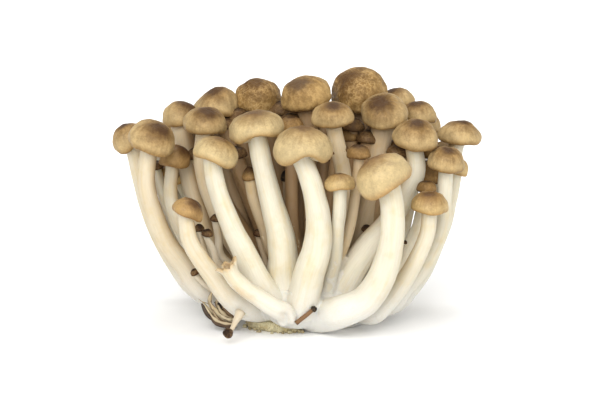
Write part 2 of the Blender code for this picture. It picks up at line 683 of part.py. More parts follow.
def main():
    clear_scene()
    parts = new_collection("shimeji_bunch")
    helpers = new_collection("guides_and_cutters")
    materials = {
        name: new_material(name, colour, DRY_ROUGHNESS if name in ("crust", "dried") else FLESH_ROUGHNESS)
        for name, colour in COLOURS.items()
    }

    foot = dome("base_tissue", 0.0, parts, materials["tissue"])
    crust("growing_block_crust", 0.0, parts, materials["crust"])
    crust_cutter = crust("crust_cutter", GAP, helpers, None)
    foot_cutter = dome("foot_cutter", GAP, helpers, None)
    cutters = (foot_cutter, crust_cutter)
    for cutter in cutters:
        make_guide(cutter)
    cut(foot, crust_cutter)

    pieces = [lay_out(name, row) for name, row in SEEN.items()]
    pieces += [lay_out_back(number, *row) for number, row in enumerate(BACK_CAPS, 1)]
    pieces.append(lay_out("torn_stem", TORN_STEM))
    pins = [lay_out(name, row) for name, row in PINS.items()]
    pins += [lay_out("withered_pin", WITHERED_PIN), lay_out("black_pin", BLACK_PIN)]
    settle([*pieces, *pins, lay_out_dried()])
    for piece in pieces:
        build_mushroom(piece, MUSHROOM_SIDES, parts, helpers, materials["mushroom"], cutters)
    for piece in pins:
        build_mushroom(piece, PIN_SIDES, parts, helpers, materials["pin"], cutters)
    dried_clump(parts, materials["dried"])


main()
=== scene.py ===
"""A bunch of brown beech mushrooms (shimeji), standing on its cut foot on a pale studio floor.

Metres, +Z up, -Y to the front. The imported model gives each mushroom's place, lean and girth.
"""

import math

import bpy
import numpy as np
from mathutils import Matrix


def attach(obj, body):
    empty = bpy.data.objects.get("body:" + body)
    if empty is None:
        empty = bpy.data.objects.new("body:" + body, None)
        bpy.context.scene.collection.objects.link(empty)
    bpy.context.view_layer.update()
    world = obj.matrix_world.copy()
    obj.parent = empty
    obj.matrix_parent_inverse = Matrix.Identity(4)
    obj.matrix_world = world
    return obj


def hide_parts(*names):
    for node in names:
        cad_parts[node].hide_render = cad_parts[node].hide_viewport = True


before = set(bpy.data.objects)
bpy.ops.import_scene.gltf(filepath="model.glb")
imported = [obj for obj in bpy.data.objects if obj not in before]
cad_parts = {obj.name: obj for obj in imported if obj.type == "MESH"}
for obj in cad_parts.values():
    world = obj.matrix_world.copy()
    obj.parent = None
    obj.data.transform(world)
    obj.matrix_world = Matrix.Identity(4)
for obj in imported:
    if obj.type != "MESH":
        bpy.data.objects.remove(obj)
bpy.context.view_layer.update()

MM = 0.001


# The studio: a pale floor under soft light from all sides, with a large soft light in front and a little to
# the left, one that only lights the floor behind, and a camera that looks slightly down on the bunch's front.
VIEW_TILT = math.radians(12)
VIEW_DISTANCE = 0.90
VIEW_CENTRE = np.array([0.0021, 0.0, 0.0411])
VIEW_WIDTH = 612 * 0.00035
SENSOR_WIDTH = 36.0
SKY_STRENGTH = 0.66
FLOOR_SIZE = 8.0
FLOOR_COLOUR = (0.95, 0.95, 0.945, 1.0)
FLOOR_CORNERS = ((-1, -1), (1, -1), (1, 1), (-1, 1))
LIGHT_AIM = (0.0, 0.0, 0.04)

scene = bpy.context.scene
scene.view_settings.view_transform = "Standard"

camera_data = bpy.data.cameras.new("camera")
camera_data.sensor_width = SENSOR_WIDTH
camera_data.lens = SENSOR_WIDTH * VIEW_DISTANCE / VIEW_WIDTH
camera_data.clip_start = 0.05
camera = bpy.data.objects.new("camera", camera_data)
scene.collection.objects.link(camera)
camera.location = VIEW_CENTRE + VIEW_DISTANCE * np.array([0.0, -math.cos(VIEW_TILT), math.sin(VIEW_TILT)])
camera.rotation_euler = (math.pi / 2 - VIEW_TILT, 0.0, 0.0)
scene.camera = camera

sky = bpy.data.worlds.new("studio")
sky.use_nodes = True
sky.node_tree.nodes["Background"].inputs["Color"].default_value = (1.0, 1.0, 1.0, 1.0)
sky.node_tree.nodes["Background"].inputs["Strength"].default_value = SKY_STRENGTH
scene.world = sky


def soft_light(name, place, aim, size, power, spread=180):
    """A square area light of this size at this place, turned to face the aim, with this spread in degrees."""
    data = bpy.data.lights.new(name, "AREA")
    data.size = size
    data.energy = power
    data.spread = math.radians(spread)
    lamp = bpy.data.objects.new(name, data)
    scene.collection.objects.link(lamp)
    x, y, z = np.array(aim) - np.array(place)
    lamp.location = place
    lamp.rotation_euler = (math.atan2(math.hypot(x, y), -z), 0.0, math.atan2(y, x) - math.pi / 2)


soft_light("key_light", (-0.24, -0.98, 0.72), LIGHT_AIM, 0.9, 13.5)
soft_light("fill_light", (0.85, -0.60, 0.55), LIGHT_AIM, 0.8, 3.5)
soft_light("floor_light", (0.0, 0.95, 1.10), (0.0, 0.80, 0.0), 1.4, 5.0, 40)

floor_paint = bpy.data.materials.new("pale_floor")
floor_paint.use_nodes = True
floor_shader = floor_paint.node_tree.nodes["Principled BSDF"]
floor_shader.inputs["Base Color"].default_value = FLOOR_COLOUR
floor_shader.inputs["Roughness"].default_value = 0.8
corners = [(0.5 * FLOOR_SIZE * x, 0.5 * FLOOR_SIZE * y, 0.0) for x, y in FLOOR_CORNERS]
floor_mesh = bpy.data.meshes.new("floor")
floor_mesh.from_pydata(corners, [], [(0, 1, 2, 3)])
floor_mesh.materials.append(floor_paint)
floor = bpy.data.objects.new("floor", floor_mesh)
scene.collection.objects.link(floor)


# The caps: one domed bun on each mushroom, with a smooth dry skin that rolls in at the margin. Each grew from
# its pin by swelling, so no two are alike. Pale tan at the front, browner at the back, darkest on the crown.
MUSHROOM_SIDES = 9
PIN_SIDES = 6
CAP_RINGS = 6
BELLY_SHARE = 0.36
DOME_SHARE = 1.0 - BELLY_SHARE
MARGIN_SHARE = 0.15


def full_turn(count):
    """Evenly spaced angles once round, in radians."""
    return np.linspace(0.0, math.tau, count, endpoint=False)


def degrees_off(turn, middle):
    """How many degrees each angle is past the middle one, from -180 to 180."""
    return (np.degrees(turn) - middle + 180.0) % 360.0 - 180.0


def turned(radius, turn, up):
    """Points at this distance from the Z axis, at this angle round it and this far up."""
    return np.stack(np.broadcast_arrays(radius * np.cos(turn), radius * np.sin(turn), up), axis=-1)


def unit(vectors):
    """The same directions at length one."""
    return vectors / np.linalg.norm(vectors, axis=-1, keepdims=True)


def ease(share):
    """Rises smoothly from 0 to 1 as the share does: 3 s^2 - 2 s^3, level at both ends."""
    share = np.clip(share, 0.0, 1.0)
    return share * share * (3.0 - 2.0 * share)


def bell(distance):
    """1 at no distance, falling off on both sides as exp(-d^2)."""
    return np.exp(-(distance**2))


def rings_of(name, sides):
    """The rings of a turned CAD node, from its apex down: each ring's middle and its mean radius.

    The apex is the point whose edges, one for each side, are all as long as each other. Each further step
    along the edges reaches the next ring, as long as it still has one point for each side.
    """
    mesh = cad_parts[name].data
    places = np.empty(len(mesh.vertices) * 3, np.float32)
    mesh.vertices.foreach_get("co", places)
    mesh.calc_loop_triangles()
    corners = np.empty(len(mesh.loop_triangles) * 3, np.int32)
    mesh.loop_triangles.foreach_get("vertices", corners)
    points, same = np.unique(np.round(places.reshape(-1, 3), 6), axis=0, return_inverse=True)
    faces = same.reshape(-1)[corners].reshape(-1, 3)
    edges = np.concatenate([faces[:, [0, 1]], faces[:, [1, 2]], faces[:, [2, 0]]])
    edges = np.unique(np.concatenate([edges, edges[:, ::-1]]), axis=0)
    lengths = np.linalg.norm(points[edges[:, 0]] - points[edges[:, 1]], axis=1)
    count = np.bincount(edges[:, 0], minlength=len(points))
    mean = np.bincount(edges[:, 0], lengths, len(points)) / count
    spread = np.bincount(edges[:, 0], lengths**2, len(points)) / count - mean**2
    uneven = np.where(count == sides, spread / mean**2, np.inf)
    level = np.full(len(points), -1)
    reached = np.zeros(len(points), bool)
    reached[np.argmin(uneven)] = True
    middles, radii = [], []
    while not middles or reached.sum() == sides:
        level[reached] = len(middles)
        ring = points[reached].astype(float)
        middles.append(ring.mean(axis=0))
        radii.append(np.linalg.norm(ring - middles[-1], axis=1).mean())
        beyond = np.zeros(len(points), bool)
        beyond[edges[reached[edges[:, 0]], 1]] = True
        reached = beyond & (level < 0)
    return np.array(middles), np.array(radii)


def directions(axis):
    """A cap's axis, and the ways to its right and to its back."""
    right = unit(np.array([1.0, 0.0, 0.0]) - axis * axis[0])
    return {"axis": axis, "right": right, "back": np.cross(axis, right)}


def mushroom_of(name, sides=MUSHROOM_SIDES):
    """What the CAD node says of a mushroom: its cap's place, size and directions, and its stem below it."""
    middles, radii = rings_of(name, sides)
    axis = unit(middles[0] - middles[CAP_RINGS])
    height = np.linalg.norm(middles[0] - middles[CAP_RINGS])
    return directions(axis) | {
        "name": name,
        "belly": middles[CAP_RINGS] + axis * BELLY_SHARE * height,
        "height": height,
        "half": radii[1 : CAP_RINGS + 1].max(),
        "stem": middles[CAP_RINGS + 1 :],
        "girth": radii[CAP_RINGS + 1 :],
    }


def ripple(points, size, seed, waves=9):
    """A smooth uneven field, about -1 to 1: a sum of sine waves of about this length in random directions."""
    draw = np.random.default_rng(seed)
    ways = unit(draw.normal(size=(waves, 3))) * draw.uniform(0.7, 1.5, (waves, 1)) * math.tau / size
    starts = draw.uniform(0.0, math.tau, waves)
    return np.sin(points @ ways.T + starts).sum(axis=-1) * 0.85 / math.sqrt(waves)


def band_faces(rows, around):
    """Quads between the rows of a grid whose rows close on themselves, facing out when the rows run down."""
    column = np.arange(around)
    after = (column + 1) % around
    upper = np.arange(rows - 1)[:, None] * around
    lower = upper + around
    return np.stack([upper + column, lower + column, lower + after, upper + after], axis=-1).reshape(-1, 4)


def fan_faces(pole, start, around, upward):
    """Triangles from a pole to the row of points that begins at start, facing up or down."""
    column = np.arange(around)
    after = (column + 1) % around
    pair = (column, after) if upward else (after, column)
    return np.stack([np.full(around, pole), start + pair[0], start + pair[1]], axis=-1)


def made_mesh(name, points, faces):
    mesh = bpy.data.meshes.new(name)
    mesh.from_pydata(points.tolist(), [], faces)
    mesh.polygons.foreach_set("use_smooth", np.ones(len(mesh.polygons), bool))
    return mesh


def skin_faces(rows, around):
    """The faces of a closed skin: a grid of rows from the top down, and then its top and its bottom pole."""
    count = rows * around
    faces = band_faces(rows, around).tolist()
    faces += fan_faces(count, 0, around, True).tolist()
    return faces + fan_faces(count + 1, count - around, around, False).tolist()


def skin_mesh(name, grid, top, bottom):
    """A closed skin of rows that close on themselves, with a pole at each end. Returns it and its points."""
    points = np.vstack([grid.reshape(-1, 3), top, bottom])
    return made_mesh(name, points, skin_faces(*grid.shape[:2])), points


def mark(mesh, name, values):
    """Stores one number or one vector for each point of the mesh as an attribute."""
    kind, slot = ("FLOAT", "value") if values.ndim == 1 else ("FLOAT_VECTOR", "vector")
    mesh.attributes.new(name, kind, "POINT").data.foreach_set(slot, values.astype(np.float32).ravel())


def add_piece(name, mesh, material, slot_name, *nodes):
    """Puts a finished mesh into the scene as a piece of the object, standing for these CAD nodes."""
    mesh.materials.append(material)
    piece = bpy.data.objects.new(name, mesh)
    scene.collection.objects.link(piece)
    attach(piece, "root")
    if nodes:
        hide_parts(*nodes)


LIT_SHARE = 1.45
BUMP_STRENGTH = 0.8
GLOW_RADIUS = (1.0, 0.6, 0.35)
GLOW_DEPTH = 0.0015


def seen(red, green, blue):
    """The linear colour of a surface that looks like these screen values, 0 to 255, in the studio's light."""
    share = np.array([red, green, blue]) / 255.0
    linear = np.where(share <= 0.04045, share / 12.92, ((share + 0.055) / 1.055) ** 2.4)
    return (*(linear / LIT_SHARE).tolist(), 1.0)


class Wiring:
    """Adds nodes to a node tree. A socket given for a socket is linked, and any other value is set."""

    def __init__(self, tree):
        self.tree = tree

    def node(self, kind, settings=None, values=None):
        """A node with these settings, and these values for its sockets, by name or by number."""
        made = self.tree.nodes.new(kind)
        for key, value in (settings or {}).items():
            setattr(made, key, value)
        for key, value in (values or {}).items():
            self.put(made.inputs[key], value)
        return made

    def put(self, socket, value):
        if isinstance(value, bpy.types.NodeSocket):
            self.tree.links.new(value, socket)
        else:
            socket.default_value = value

    def attribute(self, name, output="Fac"):
        return self.node("ShaderNodeAttribute", {"attribute_name": name}).outputs[output]

    def place(self):
        return self.node("ShaderNodeTexCoord").outputs["Object"]

    def noise(self, vector, scale, detail=2.0, roughness=0.5, output="Fac"):
        """Noise, 0 to 1, with about this many lumps to a metre."""
        values = {"Vector": vector, "Scale": scale, "Detail": detail, "Roughness": roughness}
        return self.node("ShaderNodeTexNoise", None, values).outputs[output]

    def math(self, operation, one, two):
        return self.node("ShaderNodeMath", {"operation": operation}, {0: one, 1: two}).outputs[0]

    def plus(self, one, *more):
        for value in more:
            one = self.math("ADD", one, value)
        return one

    def times(self, one, *more):
        for value in more:
            one = self.math("MULTIPLY", one, value)
        return one

    def about_half(self, value, weight):
        """How far the value is above a half, times the weight."""
        return self.times(self.math("SUBTRACT", value, 0.5), weight)

    def spread(self, value, low, high, to_low=0.0, to_high=1.0):
        """The value eased from the range low to high onto the range to_low to to_high."""
        values = {"Value": value, "From Min": low, "From Max": high, "To Min": to_low, "To Max": to_high}
        return self.node("ShaderNodeMapRange", {"interpolation_type": "SMOOTHSTEP"}, values).outputs["Result"]

    def mix(self, share, one, two, blend="MIX"):
        settings = {"data_type": "RGBA", "blend_type": blend}
        return self.node("ShaderNodeMix", settings, {0: share, 6: one, 7: two}).outputs[2]

    def shaded(self, colour, value, low, high, dark, light):
        """The colour, darkened to dark where the value is low and lightened to light where it is high."""
        grey = self.spread(value, low, high, dark, light)
        greys = self.node("ShaderNodeCombineColor", None, {"Red": grey, "Green": grey, "Blue": grey})
        return self.mix(1.0, colour, greys.outputs[0], "MULTIPLY")

    def bent(self, vector, scale, strength):
        """The vector pushed about by noise of this scale, so that a pattern on it runs unevenly."""
        colour = self.noise(vector, scale, output="Color")
        centred = self.node("ShaderNodeVectorMath", {"operation": "SUBTRACT"}, {0: colour, 1: (0.5,) * 3})
        values = {0: centred.outputs[0], 1: (strength,) * 3, 2: vector}
        return self.node("ShaderNodeVectorMath", {"operation": "MULTIPLY_ADD"}, values).outputs[0]

    def put_out(self, colour, roughness, height):
        self.node("NodeGroupOutput", None, {"Color": colour, "Roughness": roughness, "Height": height})


def new_pattern(name, inputs):
    """A shader group that puts out colour, roughness and height. Returns it, its wiring and its inputs."""
    group = bpy.data.node_groups.new(name, "ShaderNodeTree")
    for label, value in inputs.items():
        kind = "NodeSocketColor" if isinstance(value, tuple) else "NodeSocketFloat"
        group.interface.new_socket(name=label, in_out="INPUT", socket_type=kind).default_value = value
    for label, kind in (("Color", "Color"), ("Roughness", "Float"), ("Height", "Float")):
        group.interface.new_socket(name=label, in_out="OUTPUT", socket_type=f"NodeSocket{kind}")
    wiring = Wiring(group)
    return group, wiring, wiring.node("NodeGroupInput").outputs


def patterned_material(name, group, bump, values, subsurface=0.0, gloss=0.5):
    """A material whose colour, roughness and bump come from a pattern group with these values."""
    made = bpy.data.materials.new(name)
    made.use_nodes = True
    wiring = Wiring(made.node_tree)
    shader = made.node_tree.nodes["Principled BSDF"]
    pattern = wiring.node("ShaderNodeGroup", {"node_tree": group})
    for key, value in values.items():
        pattern.inputs[key].default_value = value
    height = pattern.outputs["Height"]
    values = {"Height": height, "Distance": bump, "Strength": BUMP_STRENGTH}
    raised = wiring.node("ShaderNodeBump", None, values)
    wiring.put(shader.inputs["Base Color"], pattern.outputs["Color"])
    wiring.put(shader.inputs["Roughness"], pattern.outputs["Roughness"])
    wiring.put(shader.inputs["Normal"], raised.outputs["Normal"])
    shader.inputs["Specular IOR Level"].default_value = gloss
    if subsurface:
        shader.inputs["Subsurface Weight"].default_value = subsurface
        shader.inputs["Subsurface Radius"].default_value = GLOW_RADIUS
        shader.inputs["Subsurface Scale"].default_value = GLOW_DEPTH
    return made


CAP_COLOURS = {
    "Crown": seen(95, 75, 60),
    "Upper": seen(150, 118, 75),
    "Belly": seen(190, 155, 100),
    "Margin": seen(150, 112, 62),
}
VEIN_COLOUR = seen(210, 174, 116)
DUSK = (0.55, 0.47, 0.42, 1.0)
VEINS_PER_METRE = 600.0
VEIN_BEND = 0.0030

cap_pattern, w, given = new_pattern("cap_skin_pattern", CAP_COLOURS | {"Marbling": 0.2, "Streaks": 0.2})
place = w.place()
fibre = w.attribute("fibre", "Vector")
clouds = w.noise(place, 300.0, 4.0, 0.62)
freckles = w.noise(place, 1600.0, 4.0, 0.7)
radial = w.noise(fibre, 900.0, 2.0, 0.55)
ragged = w.plus(w.about_half(clouds, 0.25), w.about_half(radial, 0.35), w.about_half(freckles, 0.24))
fall = w.plus(w.attribute("fall"), ragged)
colour = w.mix(w.spread(fall, 0.20, 0.88), given["Upper"], given["Belly"])
# The margin colour on the rolled-in margin and underside: partly the cap's own golden-brown edge, partly
# painted shade.
colour = w.mix(w.attribute("rim"), colour, given["Margin"])
winding = w.bent(place, VEINS_PER_METRE, VEIN_BEND)
edges_only = {"feature": "DISTANCE_TO_EDGE"}
net = w.node("ShaderNodeTexVoronoi", edges_only, {"Vector": winding, "Scale": VEINS_PER_METRE})
veins = w.spread(net.outputs["Distance"], 0.0, 0.24, 1.0, 0.0)
veined = w.times(veins, w.spread(clouds, 0.32, 0.60), given["Marbling"])
colour = w.mix(veined, colour, w.mix(0.75, colour, VEIN_COLOUR))
shadowed = w.times(w.spread(clouds, 0.62, 0.38), given["Marbling"], 0.36)
colour = w.mix(shadowed, colour, w.mix(1.0, colour, DUSK, "MULTIPLY"))
colour = w.shaded(colour, freckles, 0.30, 0.70, 0.90, 1.08)
colour = w.shaded(colour, clouds, 0.30, 0.70, 0.86, 1.09)
colour = w.mix(given["Streaks"], colour, w.shaded(colour, radial, 0.30, 0.70, 0.84, 1.12))
patches = w.noise(place, 480.0, 4.0, 0.65)
patchy = w.plus(w.attribute("crown"), w.about_half(patches, 0.9), ragged)
colour = w.mix(w.spread(patchy, 0.12, 0.95, 0.0, 0.88), colour, given["Crown"])
height = w.plus(w.times(veins, given["Marbling"], 0.6), w.times(freckles, 0.5))
height = w.plus(height, w.times(radial, given["Streaks"], 0.9))
w.put_out(colour, w.spread(freckles, 0.3, 0.7, 0.40, 0.56), height)


def cap_skin(name, colours, marbling=0.2, streaks=0.2, gloss=0.12):
    """The cap pattern with these colours for the crown, the upper part, the belly and the margin."""
    values = {label: seen(*colour) for label, colour in zip(CAP_COLOURS, colours)}
    values |= {"Marbling": marbling, "Streaks": streaks}
    return patterned_material(name, cap_pattern, 0.00018, values, gloss=gloss)


CAP_SKIN_LOOKS = {
    "light": ([(128, 92, 52), (178, 143, 88), (223, 197, 144), (190, 150, 92)], 0.12, 0.12, 0.3),
    "pale": ([(118, 84, 46), (174, 141, 88), (220, 195, 144), (194, 157, 100)], 0.15, 0.15, 0.2),
    "tan": ([(76, 49, 27), (156, 120, 70), (211, 182, 130), (168, 131, 78)], 0.35, 0.30, 0.16),
    "brown": ([(98, 68, 36), (138, 103, 58), (176, 140, 84), (138, 104, 58)], 0.95, 0.30),
    "veined": ([(102, 78, 56), (164, 127, 74), (206, 170, 110), (160, 124, 72)], 0.75, 0.50),
    "orange": ([(98, 66, 36), (170, 130, 74), (217, 186, 128), (192, 152, 92)], 0.15, 0.20, 0.25),
    "amber": ([(80, 50, 25), (148, 109, 59), (196, 157, 97), (166, 124, 68)], 0.20, 0.20, 0.3),
    # The deep skin, for small caps inside the bunch, is darker partly from their own browner colour and partly
    # as painted shade; the shaded skin, for the crowded middle, is painted shade.
    "deep": ([(66, 44, 26), (118, 86, 50), (162, 126, 76), (114, 82, 46)], 0.25, 0.25),
    "shaded": ([(48, 33, 21), (86, 61, 38), (118, 88, 56), (82, 58, 35)], 0.25, 0.25),
}
CAP_SKINS = {name: cap_skin(f"{name}_cap_skin", *look) for name, look in CAP_SKIN_LOOKS.items()}
PLAIN_CAP = {"full": 2.2, "lip": 0.86, "wrinkle": 0.0, "move": (0, 0)}
PLAIN_CAP |= {"wide": 1.0, "tall": 1.0, "lean": 0, "skew": 0.0}


def cap(skin, crown=(0, 0), crown_size=0.6, lobes=(), **changes):
    """How one cap looks: its skin, where its dark crown sits (degrees to the right and to the front of its
    axis) and how wide it is, and the lobes of its margin (degrees round from the right by way of the back,
    how far it hangs as a share of the cap's height, how wide in degrees). Changes are how full its dome is,
    how wide its lip is, how high the wrinkles round its crown stand, as a share of its half width, how far it
    is moved to the right and upwards from its packed place in millimetres, its width and height as shares of
    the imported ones, how many degrees more it leans to the right, and how far its apex sits to the right as a
    share of its half width."""
    return {"skin": skin, "crown": crown, "crown_size": crown_size, "lobes": lobes} | PLAIN_CAP | changes


CAPS_BY_PART = {
    "left": [
        cap("tan", (10, 6), 0.44, [(250, 0.16, 40), (180, -0.10, 40)], move=(-0.2, 1.3), tall=0.95),
        cap(
            "tan", (14, 26), 0.62, [(-40, 0.14, 40), (215, 0.06, 30), (250, -0.05, 14)],
            move=(0.5, 0.9), wide=0.98, tall=0.91,
        ),
        cap("tan", (34, 14), 0.76, move=(0.95, 0.7), wide=0.88),
        cap("tan", (4, 22), 0.68, [(200, 0.05, 30)], move=(0, -0.4)),
        cap("amber", (26, 9), 0.76, [(200, 0.10, 40)], move=(0.8, -0.4), wide=0.95),
        cap("amber", (0, 0), 0.5, move=(2.6, 0.3)),
    ],
    "front": [
        cap("amber", (32, 13), 0.80, [(-8, 0.26, 34), (200, -0.10, 40)], full=2.0),
        cap(
            "pale", (8, 4), 0.42, [(-45, 0.14, 34), (205, 0.02, 30), (262, -0.05, 24)],
            move=(0.3, 0.7), tall=0.87,
        ),
        cap(
            "pale", (-4, 6), 0.50, [(218, 0.24, 24), (-20, 0.10, 26), (275, -0.10, 24)],
            move=(-0.25, 0), wide=0.97, tall=0.88,
        ),
        cap(
            "pale", (-2, -6), 0.42, [(214, 0.30, 26), (286, -0.18, 20), (-32, 0.18, 22)],
            move=(0.4, 1.1), wide=0.945, tall=0.87,
        ),
        cap("tan", (6, 20), 0.46, [(225, 0.05, 40)], wide=0.97, tall=0.93),
        cap("orange", (0, -10), 0.30, [(275, -0.05, 24)], full=2.3, move=(-0.85, 0), wide=0.96, tall=0.94),
        cap(
            "light", (-6, -14), 0.72, [(226, 0.13, 40), (-30, 0.08, 30), (285, -0.02, 30)],
            full=2.15, move=(-0.3, 1.2), wide=0.92, tall=0.9,
        ),
        cap("orange", (-4, 20), 0.50, [(-60, 0.05, 40)]),
    ],
    "top": [
        cap(
            "tan", (4, 17), 0.54, [(185, -0.22, 45), (-30, 0.16, 50)],
            full=1.8, move=(-0.55, -0.7), skew=0.22,
        ),
        cap("brown", (-10, 10), 0.5, move=(-1.95, -0.9)),
        cap("veined", (-14, 20), 0.56, [(240, 0.06, 40)], full=2.5, move=(0, -0.5), wide=0.98, tall=0.93),
        cap("brown", (-30, 20), 0.42, move=(0.6, -0.1), wide=1.02, tall=1.08),
        cap("tan", (-14, 16), 0.64, full=2.3, wrinkle=0.030, move=(0.9, -0.6), tall=0.93),
        cap("tan", (-28, 8), 0.64, move=(0, -0.8), tall=0.95),
        cap("tan", (-20, 15), 0.58, wrinkle=0.01, move=(0.85, -0.3), wide=0.96),
    ],
    "right": [
        cap("tan", (-2, 18), 0.47, [(-80, 0.12, 34)], full=2.0, move=(-0.45, 0.75), tall=0.94),
        cap(
            "tan", (4, 6), 0.40, [(270, 0.06, 50)],
            full=1.7, move=(-1.2, 0.8), wide=1.05, tall=0.92, lean=-14,
        ),
        cap("tan", (0, 12), 0.46, move=(-0.75, 0.95), wide=0.97, tall=0.96),
        cap("orange", (0, 0), 0.4, move=(-1.2, 0.5), wide=0.85, tall=0.95),
        cap("deep", (0, 0), 0.5, move=(0, 0.9), wide=0.85),
        cap("deep", (0, 0), 0.5, move=(0, -2.4), wide=0.8, tall=0.9),
    ],
    "inner": [
        cap("deep", (0, 0), 0.5, move=(0, 0.8), wide=0.9, tall=0.85),
        cap("deep", (0, 0), 0.8),
        cap("deep", (0, 0), 0.6),
        cap("deep", (0, 0), 0.5),
        cap("deep", (0, 0), 0.6),
        cap("deep", (4, 0), 1.25, full=1.4, move=(0.6, -0.2), wide=1.35, tall=1.3),
    ],
    "back": [
        cap("tan", (0, 0), 0.5, [(160, 0.10, 40)]),
        cap("brown", (0, -10), 0.55, full=2.1),
        cap("pale", (5, -14), 0.55, [(110, 0.12, 40), (20, 0.05, 30)]),
        cap("tan", (-6, -10), 0.60, [(60, 0.06, 35)]),
        cap("pale", (0, -18), 0.50, [(70, 0.14, 36), (130, 0.08, 24)], full=2.3),
        cap("brown", (8, -12), 0.55, wrinkle=0.012),
        cap("tan", (4, -14), 0.60, [(40, 0.10, 40)], full=2.0),
        cap("tan", (10, 0), 0.45, full=2.0),
        cap("tan", (0, -8), 0.5, [(20, 0.08, 40)]),
        cap("orange", (-8, -6), 0.4, full=2.1),
        cap("pale", (0, -6), 0.45, [(120, 0.12, 40)], full=2.4),
        cap("orange", (0, 0), 0.45, [(80, 0.06, 40)]),
        cap("pale", (6, -6), 0.50, [(60, 0.10, 34)], full=2.2),
        cap("tan", (0, -8), 0.42, [(20, 0.08, 40)]),
    ],
}
CAPS = {
    f"{part}_mushroom_{number}": look
    for part, looks in CAPS_BY_PART.items()
    for number, look in enumerate(looks, 1)
}

CAP_SIDES = 72
UPPER_ROWS = 26
LOWER_ROWS = 10
LIP_ROWS = 5
LIP_WIDTH = 0.10
LIP_RISE = 0.07
CEILING = LIP_RISE - MARGIN_SHARE
CEILING_SHARES = (0.50, 0.30)
HANG_TOP = 0.45
HANG_FADE = 0.62
WRINKLES = 24
STREAK_RADIUS = 0.008
STREAK_FALL = 0.002


def cap_outline(full, lip):
    """The half outline in shares of the cap's half width and height, from the apex down over the margin and
    up to the ceiling over the gills. Above the belly r = sin(t)^(2/full) and z = cos(t)^(2/full). Below it a
    quarter ellipse rolls in to the lip, and a smaller one turns up inside."""
    t, a, b = (np.linspace(0.0, math.pi / 2, rows + 1)[1:] for rows in (UPPER_ROWS, LOWER_ROWS, LIP_ROWS))
    upper = np.stack([np.sin(t) ** (2 / full), DOME_SHARE * np.abs(np.cos(t)) ** (2 / full)], axis=1)
    lower = np.stack([lip + (1.0 - lip) * np.cos(a), -MARGIN_SHARE * np.sin(a)], axis=1)
    inner = np.stack([lip - LIP_WIDTH * np.sin(b), -MARGIN_SHARE + LIP_RISE * (1.0 - np.cos(b))], axis=1)
    return np.vstack([upper, lower, inner, [(share, CEILING) for share in CEILING_SHARES]])


def to_world(mushroom, local):
    """Points given along a cap's right, back and axis from its belly, as points of the scene."""
    return mushroom["belly"] + local @ np.stack([mushroom["right"], mushroom["back"], mushroom["axis"]])


def hung(turn, up, lobes):
    """How far the cap hangs at this turn and height, in shares of its height: a bell curve for each lobe, in
    full at the margin and fading to nothing halfway up the dome."""
    drop = np.zeros_like(turn)
    for middle, depth, width in lobes:
        drop = drop + depth * bell(degrees_off(turn, middle) / width / math.sqrt(2.0))
    return drop * ease((HANG_TOP - up) / HANG_FADE)


def build_cap(mushroom, look, seed):
    """A cap's skin: its outline turned about the axis, then hung at the lobes and made slightly uneven. Its
    attributes say how near each point is to the dark crown, how far it has fallen away from it, how far down
    it is towards the rolled-in margin and underside, whose darker margin colour is partly painted shade, and
    where it is on the streaks, which run down from the apex."""
    half, height = mushroom["half"], mushroom["height"]
    outline = cap_outline(look["full"], look["lip"])
    turn = full_turn(CAP_SIDES)
    out, up = outline[:, :1], outline[:, 1:]
    starts = np.random.default_rng(seed).uniform(0.0, math.tau, 3)
    wide = 1.0 + 0.025 * np.cos(2 * turn + starts[0]) + 0.018 * np.cos(3 * turn + starts[1])
    waves = 0.02 * np.cos(3 * turn + starts[2]) * ease((HANG_TOP - up) / HANG_FADE)
    grid = turned(half * out * wide, turn, height * (up - (hung(turn, up, look["lobes"]) + waves)))
    grid[..., 0] += look["skew"] * half * ease(up / DOME_SHARE)
    points = grid.reshape(-1, 3)
    rows = np.repeat(np.arange(len(outline)), CAP_SIDES)
    skin = (rows < UPPER_ROWS + LOWER_ROWS).astype(float)
    outward = unit(points * np.array([1.0, 1.0, 1.4 * half / height]))
    to_right, to_front = (math.tan(math.radians(angle)) for angle in look["crown"])
    towards = unit(np.array([to_right, -to_front, 1.0]))
    rounded = unit(points / np.array([half, half, height * DOME_SHARE]))
    angle = np.arccos(np.clip(rounded @ towards, -1.0, 1.0))
    apex_angle = math.acos(towards[2])
    lumps = 0.028 * half * ripple(points, 0.9 * half, seed)
    lumps += 0.010 * half * ripple(points, 0.35 * half, seed + 1)
    side = np.cross(towards, np.array([0.0, 1.0, 0.0]))
    around = np.arctan2(rounded @ np.cross(towards, side), rounded @ side)
    ridge = np.cos(WRINKLES * around + 2.0 * np.sin(5 * around))
    lumps += look["wrinkle"] * half * ridge * bell((angle / look["crown_size"] - 0.8) / 0.5)
    points = to_world(mushroom, points + outward * (lumps * skin)[:, None])
    top = to_world(mushroom, np.array([look["skew"] * half, 0.0, height * DOME_SHARE]))
    bottom = to_world(mushroom, np.array([0.0, 0.0, height * CEILING]))
    mesh, _ = skin_mesh(f"{mushroom['name']}_cap", points.reshape(len(outline), CAP_SIDES, 3), top, bottom)
    crown = bell(angle / look["crown_size"]) * skin
    mark(mesh, "crown", np.append(crown, [bell(apex_angle / look["crown_size"]), 0.0]))
    mark(mesh, "fall", np.append(angle, [apex_angle, math.pi]) / (math.pi / 2))
    # Where the margin colour goes, partly as painted shade under the rolled-in margin.
    mark(mesh, "rim", np.append(ease((0.09 - outline[rows, 1]) / 0.24), [0.0, 1.0]))
    down = np.arange(len(outline))[:, None] / len(outline) * STREAK_FALL + 0.05 * seed
    fibre = turned(STREAK_RADIUS, turn, down).reshape(-1, 3)
    mark(mesh, "fibre", np.vstack([fibre, [[0.0, 0.0, 0.05 * seed]] * 2]))
    return mesh


